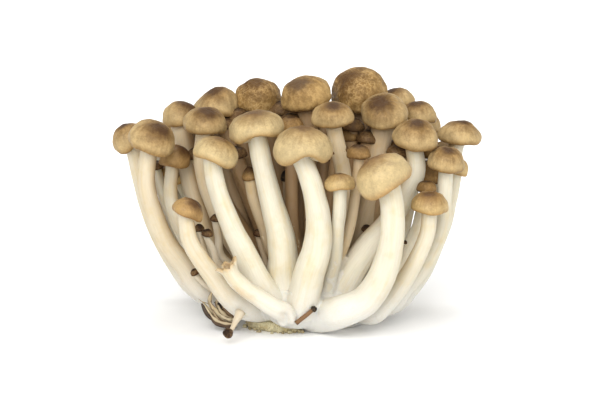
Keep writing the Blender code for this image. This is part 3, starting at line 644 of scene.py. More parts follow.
def settled(mushroom, look):
    """The mushroom with its cap moved and sized as its look says. The top of its stem follows the cap."""
    shift = np.array([look["move"][0], 0.0, look["move"][1]]) * MM
    follow = np.interp(np.arange(len(mushroom["stem"])), (0, 4), (1.0, 0.0))
    mushroom["belly"] = mushroom["belly"] + shift
    mushroom["stem"] = mushroom["stem"] + follow[:, None] * shift
    mushroom["half"] *= look["wide"]
    mushroom["height"] *= look["tall"]
    lean = math.radians(look["lean"])
    axis, right = mushroom["axis"], mushroom["right"]
    mushroom["axis"] = axis * math.cos(lean) + right * math.sin(lean)
    mushroom["right"] = right * math.cos(lean) - axis * math.sin(lean)
    return mushroom


mushrooms = {name: settled(mushroom_of(name), look) for name, look in CAPS.items()}
for seed, (name, look) in enumerate(CAPS.items(), 1):
    mesh = build_cap(mushrooms[name], look, seed)
    add_piece(f"{name}_cap", mesh, CAP_SKINS[look["skin"]], "cap_skin", name)


# The gills: thin pale blades that hang close together from the ceiling of each cap, from the stem out to the
# rolled lip, with painted shade in the folds between them. Those of one part of the bunch are one piece, since
# they share one flesh.
GILL_BLADES = 44
GILL_SIDES = 4 * GILL_BLADES
GILL_DEPTH = 0.055
GILL_INWARDS = np.array([0.0, 0.04, 0.35, 0.70, 0.97, 1.0])[:, None]
GILL_HANG = np.array([0.0, 0.35, 1.0, 0.9, 0.3, 0.0])[:, None]
GILL_COLOURS = {"Edge": seen(226, 208, 170), "Fold_shade": seen(176, 146, 100)}

gill_pattern, w, given = new_pattern("gill_pattern", GILL_COLOURS)
mottle = w.noise(w.place(), 900.0)
# Painted shade: the folds between the blades and their tops at the ceiling take the darker fold colour.
colour = w.mix(w.attribute("blade"), given["Fold_shade"], given["Edge"])
colour = w.shaded(colour, mottle, 0.3, 0.7, 0.90, 1.06)
w.put_out(colour, w.spread(mottle, 0.3, 0.7, 0.60, 0.75), mottle)
GILL_FLESH = patterned_material("gill_flesh", gill_pattern, 0.0001, {})


def gill_ring(mushroom, look):
    """One cap's gills, a ring whose underside is folded: z = ceiling - depth (0.3 + 0.7 |cos(n turn / 2)|),
    at its deepest midway between the stem and the lip. Returns its points from the outer top round to the
    inner top, and how near each is to a blade's edge."""
    turn = full_turn(GILL_SIDES)
    inner = 0.8 * mushroom["girth"][0] / mushroom["half"]
    outer = look["lip"] - 0.5 * LIP_WIDTH
    blade = np.abs(np.cos(0.5 * GILL_BLADES * turn))
    radius = mushroom["half"] * (outer + (inner - outer) * GILL_INWARDS)
    up = CEILING + 0.01 - GILL_DEPTH * GILL_HANG * (0.3 + 0.7 * blade)
    up = up - hung(turn, np.full((1, GILL_SIDES), -MARGIN_SHARE), look["lobes"])
    local = turned(radius, turn, mushroom["height"] * up).reshape(-1, 3)
    return to_world(mushroom, local), (GILL_HANG * blade).ravel()


column = np.arange(GILL_SIDES)
after = (column + 1) % GILL_SIDES
last = (len(GILL_HANG) - 1) * GILL_SIDES
ring_faces = np.stack([last + column, column, after, last + after], axis=-1)
ring_faces = np.vstack([band_faces(len(GILL_HANG), GILL_SIDES), ring_faces])
for part in CAPS_BY_PART:
    names = [name for name in CAPS if name.startswith(part)]
    rings = [gill_ring(mushrooms[name], CAPS[name]) for name in names]
    starts = np.arange(len(rings)) * len(GILL_HANG) * GILL_SIDES
    faces = (starts[:, None, None] + ring_faces).reshape(-1, 4)
    mesh = made_mesh(f"{part}_gills", np.vstack([points for points, _ in rings]), faces.tolist())
    mark(mesh, "blade", np.concatenate([blade for _, blade in rings]))
    add_piece(f"{part}_gills", mesh, GILL_FLESH, "gills", *names)


# The stems: round, solid and slightly uneven, with fine fibres along them. Cream, with painted shade that
# turns them beige and brown deep inside the bunch, where little light falls, and on their sides that face its
# middle. Each grew up from the foot to carry its cap.
ON_FLOOR = np.array([1.0, 1.0, 0.0])
FOOT_HEART = np.array([0.004, 0.002, 0.005])
STEM_STEP = 0.0009
STEM_SIDES = 36
FIBRE_STRETCH = 0.06
# How much painted shade a stem gets on the side that faces the middle of the bunch.
INWARD_PAINTED_SHADE = 0.45
WOOL_COLOUR = seen(255, 253, 246)
# On the stems, the pins and the foot the shaded and deep colours are painted shade, laid on by the deep
# attribute; on the torn stem and the dried stems they are their real browning.
FLESH_COLOURS = {
    "Pale": seen(248, 240, 216),
    "Shaded": seen(230, 208, 170),
    "Deep": seen(184, 150, 108),
    "Stain": (0.93, 0.84, 0.64, 1.0),
}

stem_pattern, w, given = new_pattern("stem_flesh_pattern", FLESH_COLOURS | {"Wool": 0.0, "Butt": 1.0})
place = w.place()
fibre = w.attribute("fibre", "Vector")
deep = w.attribute("deep")
threads = w.noise(fibre, 2600.0, 2.0, 0.6)
bands = w.noise(fibre, 650.0)
blotches = w.noise(place, 150.0, 3.0, 0.6)
wool = w.noise(place, 2200.0, 4.0, 0.7)
rise = w.node("ShaderNodeSeparateXYZ", None, {"Vector": place}).outputs["Z"]
# Painted shade where the deep attribute is shade: the pale flesh darkens to the shaded and then the deep
# colour.
colour = w.mix(w.spread(deep, 0.0, 0.55), given["Pale"], given["Shaded"])
colour = w.mix(w.spread(deep, 0.45, 1.0), colour, given["Deep"])
stained = w.plus(w.times(w.spread(bands, 0.46, 0.72), 0.45), w.times(w.spread(blotches, 0.46, 0.74), 0.55))
colour = w.mix(stained, colour, w.mix(1.0, colour, given["Stain"], "MULTIPLY"))
colour = w.shaded(colour, threads, 0.30, 0.70, 0.94, 1.03)
butt = w.times(w.spread(rise, 0.003, 0.025, 1.0, 0.0), w.spread(wool, 0.30, 0.60, 0.55, 0.95), given["Butt"])
colour = w.mix(butt, colour, WOOL_COLOUR)
height = w.plus(w.times(threads, 0.5), w.times(bands, 0.9), w.times(wool, given["Wool"], 1.6))
w.put_out(colour, w.spread(threads, 0.3, 0.7, 0.50, 0.68), height)


def flesh(name, bump=0.00016, colours=(), glow=0.12, **values):
    """The stem pattern with these colours for its pale, shaded and deep parts, and these other values."""
    values |= {label: seen(*colour) for label, colour in zip(FLESH_COLOURS, colours)}
    return patterned_material(name, stem_pattern, bump, values, subsurface=glow)


STEM_FLESH = flesh("stem_flesh")


def stem(shade=1.0, beige_and_shade=0.0, flare=1.04, thicker=1.0, kept=None, low=(0.0, 0.0, 0.0), root=None):
    """How one stem looks: how much painted shade from inside the bunch it gets, how much beige it has on all
    sides, partly its own tint and partly painted shade, how much wider it grows out at its foot, how much
    thicker it is than its packed girth, how many of its packed rings it keeps, how far its lower end stands
    right of, behind and above its packed place in millimetres, and where in the foot it ends, if that isn't
    halfway on to the foot's heart."""
    look = {"shade": shade, "beige_and_shade": beige_and_shade, "flare": flare, "thicker": thicker}
    return look | {"kept": kept, "low": low, "root": root}


PLAIN_STEM = stem()
STEMS = {
    "left_mushroom_1": stem(0.3, 0.22),
    "left_mushroom_2": stem(0.45, 0.30, 1.12),
    "left_mushroom_3": stem(0.7, 0.22, 1.14),
    "left_mushroom_4": stem(0.7, 0.12),
    "left_mushroom_5": stem(0.5, 0.15),
    "left_mushroom_6": stem(0.4, 0.35),
    "front_mushroom_1": stem(0.0, 0.24, 1.18, 1.20, low=(0.0, -1.0, 1.4)),
    "front_mushroom_2": stem(0.0, 0.0, 1.17, 1.06, root=(-0.0055, -0.0205, 0.0080)),
    "front_mushroom_3": stem(0.0, 0.0, 1.26, 1.05, None, (-0.2, -5.5, 0.0), (-0.0034, -0.0215, 0.0065)),
    "front_mushroom_4": stem(0.0, 0.0, 1.26, 1.0, 6, (-0.2, 0.4, 0.0), (-0.0002, -0.0232, 0.0075)),
    "front_mushroom_5": stem(0.3, 0.18, low=(-2.4, 0.0, -1.0), root=(0.0055, -0.0100, 0.012)),
    "front_mushroom_6": stem(0.1, thicker=1.08, low=(-2.6, 1.0, -1.0), root=(0.0060, -0.0140, 0.009)),
    "front_mushroom_7": stem(0.0, 0.0, 1.12, low=(0.0, 1.6, 1.2), root=(0.0055, -0.0180, 0.0055)),
    "front_mushroom_8": stem(0.6, 0.16, 1.12),
    "top_mushroom_5": stem(0.75),
    "right_mushroom_1": stem(0.0, 0.08, 1.22, 1.08, None, (-4.5, 0.0, -3.0), (0.0085, -0.0120, 0.0085)),
    "right_mushroom_2": stem(0.3, 0.12),
    "right_mushroom_3": stem(0.0),
    "inner_mushroom_6": stem(0.55, 0.15, thicker=1.55),
}


def even_line(places, radii, step=None, least=2, count=None):
    """Evenly spaced places, with the radius at each, on a Catmull-Rom curve through the places given: 0.5
    (2b + (c - a) t + (2a - 5b + 4c - d) t^2 + (3b - a - 3c + d) t^3) between each b and c. They are about a
    step apart and no fewer than the least, or of this count. Returns them and how far along each is."""
    length = np.linalg.norm(np.diff(places, axis=0), axis=1).sum()
    count = count or max(int(length / step), least)
    points = np.column_stack([places, radii])
    ends = np.vstack([2 * points[0] - points[1], points, 2 * points[-1] - points[-2]])
    t = np.linspace(0.0, 1.0, 16, endpoint=False)[:, None]
    a, b, c, d = ends[:-3, None], ends[1:-2, None], ends[2:-1, None], ends[3:, None]
    curve = 2 * b + (c - a) * t + (2 * a - 5 * b + 4 * c - d) * t**2 + (3 * b - a - 3 * c + d) * t**3
    fine = np.vstack([0.5 * curve.reshape(-1, 4), points[-1:]])
    along = np.concatenate([[0.0], np.cumsum(np.linalg.norm(np.diff(fine[:, :3], axis=0), axis=1))])
    wanted = np.linspace(0.0, along[-1], count)
    return np.stack([np.interp(wanted, along, column) for column in fine.T], axis=1), wanted


def outward_ways(line, turn, flat=1.0):
    """The ways out of a line at each of its places: cos(turn) a + flat sin(turn) b, where a is unit(Y x up
    the line) and b is square to both."""
    along = unit(np.gradient(line, axis=0))
    up = along * np.where(along[:, 2:] < 0, -1.0, 1.0)
    side = unit(np.cross(np.array([0.0, 1.0, 0.0]), up))
    other = np.cross(up, side)
    return np.cos(turn)[:, None] * side[:, None] + flat * np.sin(turn)[:, None] * other[:, None]


# Used to paint shade on the flesh deep inside the bunch.
def deepness(points):
    """How deep inside the bunch each point is, 0 outside to 1 at its middle. The bunch widens upwards."""
    rise = np.clip(points[:, 2] / 0.065, 0.0, 1.3)
    across = (points[:, 0] - 0.002 * rise) / (0.020 + 0.042 * rise**0.8)
    depth = (points[:, 1] - 0.006 * rise) / (0.020 + 0.034 * rise**0.8)
    return ease((1.00 - np.hypot(across, depth)) / 0.70) * ease((points[:, 2] - 0.006) / 0.022)


def stem_line(mushroom):
    """A stem's places and radii from inside the cap down into the foot, evenly spaced."""
    look = STEMS.get(mushroom["name"], PLAIN_STEM)
    packed, girth = mushroom["stem"][: look["kept"]], mushroom["girth"][: look["kept"]]
    places = packed + ease(np.linspace(0.0, 1.0, len(packed)))[:, None] * (np.array(look["low"]) * MM)
    flare = 1.0 + (look["flare"] - 1.0) * ease(np.linspace(-0.2, 1.0, len(packed)))
    radii = girth * flare * look["thicker"]
    top = places[0] + mushroom["axis"] * 0.30 * mushroom["height"]
    root = 0.5 * (FOOT_HEART + places[-1]) if look["root"] is None else look["root"]
    radii = np.concatenate([[radii[0] * 1.06], radii, [radii[-1] * 1.12]])
    return even_line(np.vstack([top, places, root]), radii, STEM_STEP, 8)


def build_tube(name, flow, along, sides, seed, shade=1.0, beige_and_shade=0.0, uneven=0.016, flat=1.0):
    """A closed tube round a line: each ring lies at the radius out from the line, (1 + lumps) times. Its
    fibre attribute is the place it would have if the stem were straight, drawn out along the stem. Its deep
    attribute, which paints shade, is shade * deepness + beige_and_shade, with more painted shade on the side
    that faces the middle of the bunch."""
    line, radii = flow[:, :3], flow[:, 3:]
    turn = full_turn(sides)
    outward = outward_ways(line, turn, flat)
    plain = line[:, None] + outward * radii[..., None]
    fine = plain * np.array([1.0, 1.0, 0.25])
    lumps = uneven * (ripple(plain, 0.010, seed) + 0.5 * ripple(fine, 0.0035, seed + 1))
    oval = 0.03 * np.cos(2 * turn + seed)
    grid = line[:, None] + outward * (radii * (1.0 + lumps + oval))[..., None]
    grid[..., 2] = np.maximum(grid[..., 2], 0.0)
    mesh, points = skin_mesh(name, grid, line[0], line[-1])
    drawn = along[:, None] * FIBRE_STRETCH + 0.07 * seed
    ends = [[0.0, 0.0, drawn[0, 0]], [0.0, 0.0, drawn[-1, 0]]]
    mark(mesh, "fibre", np.vstack([turned(radii, turn, drawn).reshape(-1, 3), ends]))
    inward = unit((FOOT_HEART - line) * ON_FLOOR)
    # Painted shade on the side of the stem that faces the middle of the bunch.
    inward_painted_shade = ease((outward @ inward[:, :, None])[..., 0]) * INWARD_PAINTED_SHADE * (beige_and_shade > 0.0)
    mark(mesh, "deep", deepness(points) * shade + np.append(beige_and_shade + inward_painted_shade, [beige_and_shade, beige_and_shade]))
    return mesh


stem_lines = {name: stem_line(mushroom) for name, mushroom in mushrooms.items()}
for seed, (name, line_along) in enumerate(stem_lines.items(), 101):
    look = STEMS.get(name, PLAIN_STEM)
    mesh = build_tube(f"{name}_stem", *line_along, STEM_SIDES, seed, look["shade"], look["beige_and_shade"])
    add_piece(f"{name}_stem", mesh, STEM_FLESH, "mushroom_flesh", name)


# The fused foot: the white tissue at the bottom that all the stems grew out of, cut off flat underneath. It
# climbs a little way up between the stems, as a web in each crotch.
FIELD_LOW = np.array([-0.032, -0.038, -0.0020])
FIELD_HIGH = np.array([0.042, 0.042, 0.0360])
FIELD_STEP = 0.00065
WEB_SOFTNESS = 0.0016
WEB_REACH = 0.034
WEB_SPREAD = 0.9
FOOT_SHRINK = 0.965
FOOT_BELLY = np.array([0.0230, 0.0205, 0.0155])
FOOT_TURNS = 320
FOOT_TILTS = 130
RAY_START = 0.002
RAY_STEP = 0.0004


def stem_gap(points, line, radii):
    """How far points are outside a stem: the least distance to a piece of its line, less its radius there."""
    least = np.full(points.shape[:-1], np.inf)
    for start, stop, wide, narrow in zip(line[:-1], line[1:], radii[:-1], radii[1:]):
        step = stop - start
        share = np.clip((points - start) @ step / (step @ step), 0.0, 1.0)
        away = np.linalg.norm(points - start - share[..., None] * step, axis=-1)
        least = np.minimum(least, away - (wide + share * (narrow - wide)))
    return least


def ball_ways(tilts, sides):
    """Directions all over a ball, in rows from the top down, without its poles."""
    tilt = np.linspace(0.0, math.pi, tilts + 2)[1:-1, None]
    return turned(np.sin(tilt), full_turn(sides), np.cos(tilt))


axes = [np.arange(low, high, FIELD_STEP) for low, high in zip(FIELD_LOW, FIELD_HIGH)]
field_points = np.stack(np.meshgrid(*axes, indexing="ij"), axis=-1)
from_heart = np.linalg.norm(field_points - FOOT_HEART, axis=-1)
softness = WEB_SOFTNESS * np.clip(1.0 - (from_heart / WEB_REACH) ** 4, 0.05, 1.0)
near_floor = ease((0.013 - field_points[..., 2]) / 0.009)
behind = ease((field_points[..., 1] + 0.002) / 0.008)
softness *= 1.0 + WEB_SPREAD * near_floor * behind
ball = np.linalg.norm((field_points - FOOT_HEART * ON_FLOOR) / FOOT_BELLY, axis=-1)
closeness = np.exp(-np.clip((ball - 1.0) * FOOT_BELLY.min() / softness, -60.0, 60.0))
for flow, _ in stem_lines.values():
    part = flow[np.flatnonzero(flow[:, 2] < FIELD_HIGH[2] + 0.004)[::5]]
    if len(part) < 2:
        continue
    reach = flow[:, 3].max() + 0.006
    block = tuple(
        slice(*np.searchsorted(axis, (part[:, i].min() - reach, part[:, i].max() + reach)))
        for i, axis in enumerate(axes)
    )
    gap = stem_gap(field_points[block], part[:, :3], part[:, 3] * FOOT_SHRINK)
    closeness[block] += np.exp(-np.clip(gap / softness[block], -60.0, 60.0))
field = -softness * np.log(closeness)


def field_at(points):
    """The field between its grid points, each of the eight round a place weighted by how near it is."""
    share = np.clip((points - FIELD_LOW) / FIELD_STEP, 0.0, np.array(field.shape) - 1.001)
    cell = share.astype(int)
    part = share - cell
    total = np.zeros(points.shape[:-1])
    for corner in np.ndindex(2, 2, 2):
        weight = np.prod(np.where(corner, part, 1.0 - part), axis=-1)
        at = cell + np.array(corner)
        total += weight * field[at[..., 0], at[..., 1], at[..., 2]]
    return total


rays = ball_ways(FOOT_TILTS, FOOT_TURNS)
leaves = np.full(rays.shape[:2], WEB_REACH)
inside = np.ones(rays.shape[:2], bool)
before = np.full(rays.shape[:2], -0.001)
for distance in np.arange(RAY_START, WEB_REACH, RAY_STEP):
    at = FOOT_HEART + rays * distance
    now = np.maximum(field_at(at), -at[..., 2])
    out = inside & (now > 0.0)
    leaves[out] = distance - RAY_STEP * (now / (now - before))[out]
    inside &= ~out
    before = np.minimum(now, -1e-7)
grid = FOOT_HEART + rays * leaves[..., None]
grid += rays * (0.00018 * ripple(grid, 0.0022, 7) * (grid[..., 2] > 0.0004))[..., None]
grid[..., 2] = np.maximum(grid[..., 2], 0.0)
top = FOOT_HEART + np.array([0.0, 0.0, leaves[0].mean()])
mesh, points = skin_mesh("base_tissue_foot", grid, top, FOOT_HEART * ON_FLOOR)
mark(mesh, "fibre", np.vstack([rays.reshape(-1, 3), [[0.0, 0.0, 1.0], [0.0, 0.0, -1.0]]]) * 0.02)
# Painted shade on the foot, darker deeper inside the bunch.
mark(mesh, "deep", deepness(points) * 0.55)
FOOT_TISSUE = flesh("foot_tissue", colours=[(252, 247, 232)], Stain=(0.96, 0.91, 0.80, 1.0), Wool=1.0)
add_piece("base_tissue_foot", mesh, FOOT_TISSUE, "foot_tissue", "base_tissue")


# The crust: a thin uneven slab of the growing block that came away under the front of the foot, a damp olive
# and yellow crumbly stuff in layers, with loose crumbs of it round its edge.
CRUST_MIDDLE = np.array([-0.0060, -0.0112, 0.0])
CRUST_RADIUS = 0.0128
CRUST_SHAPE = np.array([1.0, 0.85, 1.0])
CRUST_HEIGHT = 0.0034
CRUST_TURNS = 160
CRUST_EDGE = [0.96, 1.0, 1.01, 1.0, 1.02, 0.99, 0.96, 0.8, 0.4]
CRUST_EDGE_LEVELS = [0.95, 0.85, 0.68, 0.52, 0.36, 0.20, 0.04, 0.0, 0.0]

crust_pattern, w, given = new_pattern(
    "crust_pattern",
    {"Olive": seen(226, 204, 146), "Straw": seen(255, 243, 198), "Dark": seen(150, 120, 78)},
)
place = w.place()
lumps = w.noise(place, 420.0, 4.0, 0.65)
grains = w.noise(place, 1600.0, 3.0, 0.7)
colour = w.mix(w.spread(lumps, 0.34, 0.54), given["Olive"], given["Straw"])
colour = w.mix(w.spread(grains, 0.58, 0.70), colour, given["Dark"])
damp = w.times(w.attribute("damp"), w.spread(lumps, 0.35, 0.6, 0.5, 1.0))
colour = w.mix(damp, colour, given["Dark"])
height = w.plus(grains, w.times(lumps, 1.5))
w.put_out(colour, w.spread(grains, 0.3, 0.7, 0.65, 0.9), height)
CRUST = patterned_material("growing_block_crust", crust_pattern, 0.0005, {})

turn = full_turn(CRUST_TURNS)
rim = 0.97 + 0.05 * ripple(turned(1.0, turn, 0.0), 0.9, 21) + 0.02 * np.sin(17 * turn + 3 * np.sin(4 * turn))
share = np.concatenate([np.linspace(0.1, 0.9, 9), CRUST_EDGE])[:, None]
level = np.concatenate([np.full(9, 1.0), CRUST_EDGE_LEVELS])[:, None]
grid = turned(share * (CRUST_RADIUS * rim), turn, CRUST_HEIGHT * level) * CRUST_SHAPE + CRUST_MIDDLE
grid[..., 2] += 0.00035 * ripple(grid, 0.0035, 22) * (level > 0.3)
jagged = 0.0004 * ripple(grid, 0.0016, 23) * (share > 0.9)
grid[..., :2] += jagged[..., None] * unit(grid[..., :2] - CRUST_MIDDLE[:2])
grid[..., 2] = np.clip(grid[..., 2], 0.0, None)
top = CRUST_MIDDLE + np.array([0.0, 0.0, CRUST_HEIGHT])
mesh, points = skin_mesh("growing_block_crust_slab", grid, top, CRUST_MIDDLE)
damp = bell((points[:, 0] + 0.0178) / 0.0016) * 0.6 + bell((points[:, 0] - 0.003) / 0.0025) * 0.7
mark(mesh, "damp", damp)
add_piece("growing_block_crust_slab", mesh, CRUST, "block_crust", "growing_block_crust")

CRUMB_SIDES = 7
CRUMB_ROWS = 4
CRUMBS = 30
draw = np.random.default_rng(31)
bearing = draw.uniform(math.radians(185), math.radians(350), CRUMBS)
away = CRUST_RADIUS * draw.uniform(0.96, 1.12, CRUMBS)
size = draw.uniform(0.00025, 0.0008, CRUMBS)
middle = CRUST_MIDDLE + turned(away, bearing, 0.6 * size) * CRUST_SHAPE
ball = np.vstack([ball_ways(CRUMB_ROWS, CRUMB_SIDES).reshape(-1, 3), [0.0, 0.0, 1.0], [0.0, 0.0, -1.0]])
rough = size[:, None, None] * draw.uniform(0.7, 1.3, (CRUMBS, len(ball), 1))
points = (middle[:, None] + ball * rough).reshape(-1, 3)
points[:, 2] = np.maximum(points[:, 2], 0.0)
crumb_faces = skin_faces(CRUMB_ROWS, CRUMB_SIDES)
faces = [[corner + number * len(ball) for corner in face] for number in range(CRUMBS) for face in crumb_faces]
mesh = made_mesh("crust_crumbs", points, faces)
mark(mesh, "damp", np.repeat(draw.uniform(0.0, 1.0, CRUMBS) ** 2, len(ball)))
add_piece("crust_crumbs", mesh, CRUST, "block_crust")


# The torn stem: a stem whose cap was pulled off, lying across the foot. Its top is hollow and ragged, with
# thin flaps that curl out and brown at their edges, and its low end is split along the front.
TORN_SIDES = 72
TORN_STEP = 0.0005
TORN_HOLLOW = 0.0035
TORN_WALL = 0.0009
TORN_FLAPS = [
    (6, 0.0019, 38),
    (58, 0.0006, 14),
    (104, 0.0015, 34),
    (152, 0.0005, 12),
    (198, 0.0018, 34),
    (252, 0.0009, 24),
    (308, 0.0013, 22),
]
TORN_FLAP_BASE = 0.0004
TORN_SPLIT = 268
TORN_SPLIT_WIDTH = 24.0
TORN_END = (-0.0040, -0.0285, 0.0058)
TORN_END_LENGTH = 0.0023
HOLLOW_ROWS = 8

middles, radii = rings_of("torn_stem", MUSHROOM_SIDES)
middles = np.vstack([middles[2:-2], TORN_END])
radii = radii[2:-1] * np.linspace(0.98, 1.26, len(middles))
flow, along = even_line(middles, radii, TORN_STEP)
line, radii = flow[:, :3], flow[:, 3:]
turn = full_turn(TORN_SIDES)
flap = np.full(TORN_SIDES, -TORN_FLAP_BASE)
for middle, height, width in TORN_FLAPS:
    gap = np.abs(degrees_off(turn, middle)) / width
    flap = np.maximum(flap, height * np.clip(1.0 - gap, 0.0, 1.0) ** 0.55 - TORN_FLAP_BASE)
raised = np.maximum(flap, 0.0)
lift = flap * (1.0 + 0.25 * np.sin(9 * turn))
outward = outward_ways(line, turn)
upward = unit(line[0] - line[4])
to_end = (along - along[-1])[:, None]
along = along[:, None]
split = bell(degrees_off(turn, TORN_SPLIT) / TORN_SPLIT_WIDTH) * ease((to_end + 0.010) / 0.004)
swell = 1.0 + 0.16 * bell(along / 0.0022) - 0.42 * split
swell += 0.03 * ripple(line[:, None] + outward * radii[0], 0.008, 41)
rounding = ((to_end + 0.0022) / TORN_END_LENGTH).clip(0.0, 1.0)
closing = np.sqrt(np.clip(1.0 - rounding**2, 0.02, 1.0))
outer = line[:, None] + outward * (radii * swell * closing)[..., None]
outer = outer + (lift * bell(along / 0.0016))[..., None] * upward
outer = outer + (raised * 0.95 * bell(along / 0.0012))[..., None] * outward
depth = np.linspace(1.0, 0.0, HOLLOW_ROWS)[:, None]
inner_radius = (radii[0] - TORN_WALL) * (1.0 - 0.35 * depth**2) * (1.0 + 0.05 * np.sin(11 * turn))
inner = outer[0] - outward[0] * (radii[0] * swell[0])[:, None] + outward[0] * inner_radius[..., None]
inner = inner - upward * (depth * (TORN_HOLLOW + 0.7 * lift))[..., None]
grid = np.concatenate([inner, outer])
grid[..., 2] = np.maximum(grid[..., 2], 0.0004)
mesh, _ = skin_mesh("torn_stem_flesh", grid, inner[0].mean(axis=0), outer[-1].mean(axis=0))
drawn = np.concatenate([-np.arange(HOLLOW_ROWS)[::-1, None] * 0.0003, along]) * FIBRE_STRETCH + 9.0
mark(mesh, "fibre", np.vstack([turned(0.0028, turn, drawn).reshape(-1, 3), [[0.0, 0.0, 9.0]] * 2]))
dark_hollow = 0.45 - 0.35 * depth + 0.0 * turn
brown_edge = bell(along / 0.0008) * (0.25 + 110.0 * raised) + 0.75 * split * (1.0 - split)
mark(mesh, "deep", np.append(np.concatenate([dark_hollow, brown_edge]).ravel(), [0.8, 0.3]))
TORN_COLOURS = [(248, 238, 210), (214, 180, 128), (150, 108, 62)]
TORN_FLESH = flesh("torn_flesh", 0.00022, TORN_COLOURS, Stain=(0.88, 0.74, 0.52, 1.0))
add_piece("torn_stem_flesh", mesh, TORN_FLESH, "mushroom_flesh", "torn_stem")


# The pins: young mushrooms that stopped growing, with a chocolate brown head on a thin cream stem. Two lie
# loose at the front: one blackened, on a brown stem, and one withered, with a ridged round head.
PIN_STEM_SIDES = 24
PIN_BUMP = 0.00012
PIN_COLOURS = [(232, 218, 192), (196, 172, 138), (120, 92, 64)]
BROWN_PIN_COLOURS = [(136, 98, 56), (108, 74, 42), (70, 46, 30)]
PIN_FLESH = flesh("pin_flesh", PIN_BUMP, PIN_COLOURS, 0.0, Stain=(0.93, 0.84, 0.70, 1.0), Butt=0.0)
BROWN_STAIN = (0.8, 0.66, 0.5, 1.0)
BROWN_PIN_FLESH = flesh("brown_pin_flesh", PIN_BUMP, BROWN_PIN_COLOURS, 0.0, Stain=BROWN_STAIN, Butt=0.0)
PIN_STEM_SKINS = {"black_pin": BROWN_PIN_FLESH}
HEAD_SKIN_LOOKS = {
    "pin": ([(46, 30, 20), (72, 48, 30), (98, 68, 42), (62, 42, 26)], 0.30, 0.40),
    "black": ([(22, 18, 18), (30, 25, 25), (40, 34, 32), (30, 24, 22)],),
    "withered": ([(54, 38, 30), (70, 48, 38), (92, 66, 52), (60, 42, 32)], 0.4, 0.9),
}
HEAD_SKINS = {name: cap_skin(f"{name}_head_skin", *look) for name, look in HEAD_SKIN_LOOKS.items()}

# Each pin's head, and how much wider it grew than its packed half width.
PINS = {
    "pin_1": (cap("pin", (20, 10), 0.8, full=1.9), 1.25),
    "pin_2": (cap("pin", (-10, 10), 0.8, full=1.9), 1.15),
    "pin_3": (cap("pin", full=1.7), 1.15),
    "pin_4": (cap("pin", (0, 0), 0.7, full=2.3, move=(1.2, 0)), 1.05),
    "pin_5": (cap("pin", (0, 0), 0.7, full=2.1), 1.25),
    "pin_6": (cap("pin", (0, 0), 0.9, full=2.0), 1.0),
    "pin_7": (cap("black", (0, 0), 1.2, full=1.8, move=(0.5, 0)), 1.2),
    "black_pin": (cap("black", (0, 0), 1.2, full=2.2, lip=0.7), 1.05),
    "withered_pin": (cap("withered", (0, 0), 1.0, full=2.1, lip=0.7, wrinkle=0.10), 1.0),
}
BLACK_PIN_OUT = 0.0005
# The withered pin's stem from its head to its torn end: each place and how wide it is there.
WITHERED_STEM_MM = np.array(
    [
        (-23.6, -36.0, 4.4, 0.75),
        (-22.7, -34.7, 5.6, 0.80),
        (-21.8, -33.2, 7.2, 1.00),
        (-20.9, -31.9, 8.6, 1.45),
        (-20.2, -30.8, 9.8, 1.80),
    ]
)


def lying(places, out):
    """Each place moved straight forward by the least distance that brings it this far out of the foot."""
    forward = np.arange(0.0, 0.008, 0.0002)[:, None] * np.array([0.0, -1.0, 0.0])
    tries = places[:, None] + forward
    return tries[np.arange(len(places)), np.argmax(field_at(tries) > out, axis=1)]


for seed, (name, (look, growth)) in enumerate(PINS.items(), 201):
    pin = settled(mushroom_of(name, PIN_SIDES), look)
    pin["half"] *= growth
    places, girth = pin["stem"], pin["girth"] * 0.95
    if name == "black_pin":
        places = lying(places, BLACK_PIN_OUT)
        pin["belly"] = pin["belly"] + places[0] - pin["stem"][0]
    if name == "withered_pin":
        places, girth = WITHERED_STEM_MM[:, :3] * MM, WITHERED_STEM_MM[:, 3] * MM
    add_piece(f"{name}_head", build_cap(pin, look, seed), HEAD_SKINS[look["skin"]], "dark_pin", name)
    top = places[0] + pin["axis"] * 0.3 * pin["height"]
    root = [] if name in ("black_pin", "withered_pin") else [0.5 * (places[-1] + FOOT_HEART)]
    widths = np.concatenate([girth[:1], girth, girth[-1:] * np.ones(len(root))])
    line_along = even_line(np.vstack([top, places, *root]), widths, STEM_STEP, 10)
    # Painted shade on the pin stems, darker inside the bunch.
    mesh = build_tube(f"{name}_stem", *line_along, PIN_STEM_SIDES, seed, 0.45, uneven=0.05)
    add_piece(f"{name}_stem", mesh, PIN_STEM_SKINS.get(name, PIN_FLESH), "dark_pin", name)


# The crowded middle: thin stems with small caps that fill the space between the big ones, and hide in the
# shade under them, painted dark on their caps and stems. They were overtopped and stayed small. Each has its
# top and its girth in millimetres.
INNER_TOPS_MM = [
    ((-36, 6, 56), 3.0),
    ((-27, 8, 66), 3.0),
    ((-22, -3, 58), 3.0),
    ((-22, 14, 68), 3.6),
    ((-18, 9, 68), 3.2),
    ((-14, 16, 69), 3.8),
    ((-11, 3, 68), 3.2),
    ((-7, 15, 70), 3.8),
    ((-3, 6, 68), 3.2),
    ((-1, 10, 70), 3.8),
    ((3, -2, 64), 3.2),
    ((8, 12, 68), 3.6),
    ((13, -6, 60), 3.0),
    ((18, 6, 66), 3.4),
    ((24, 4, 62), 3.4),
    ((28, 10, 64), 3.4),
    ((34, 0, 58), 3.0),
    ((40, 12, 58), 3.0),
    ((-32, 17, 58), 3.0),
    ((-20, 20, 58), 3.2),
    ((-4, 27, 57), 3.2),
    ((12, 28, 56), 3.2),
    ((26, 22, 58), 3.0),
]
INNER_BEND = 0.85
INNER_HALF_SHARE = 1.35
INNER_HEIGHT_SHARE = 1.6
INNER_FOOT_SPREAD = np.array([0.30, 0.30, 0.0])
INNER_FOOT_RISE = np.array([0.0, 0.0, 0.008])
SPROUT_PLACES = 7


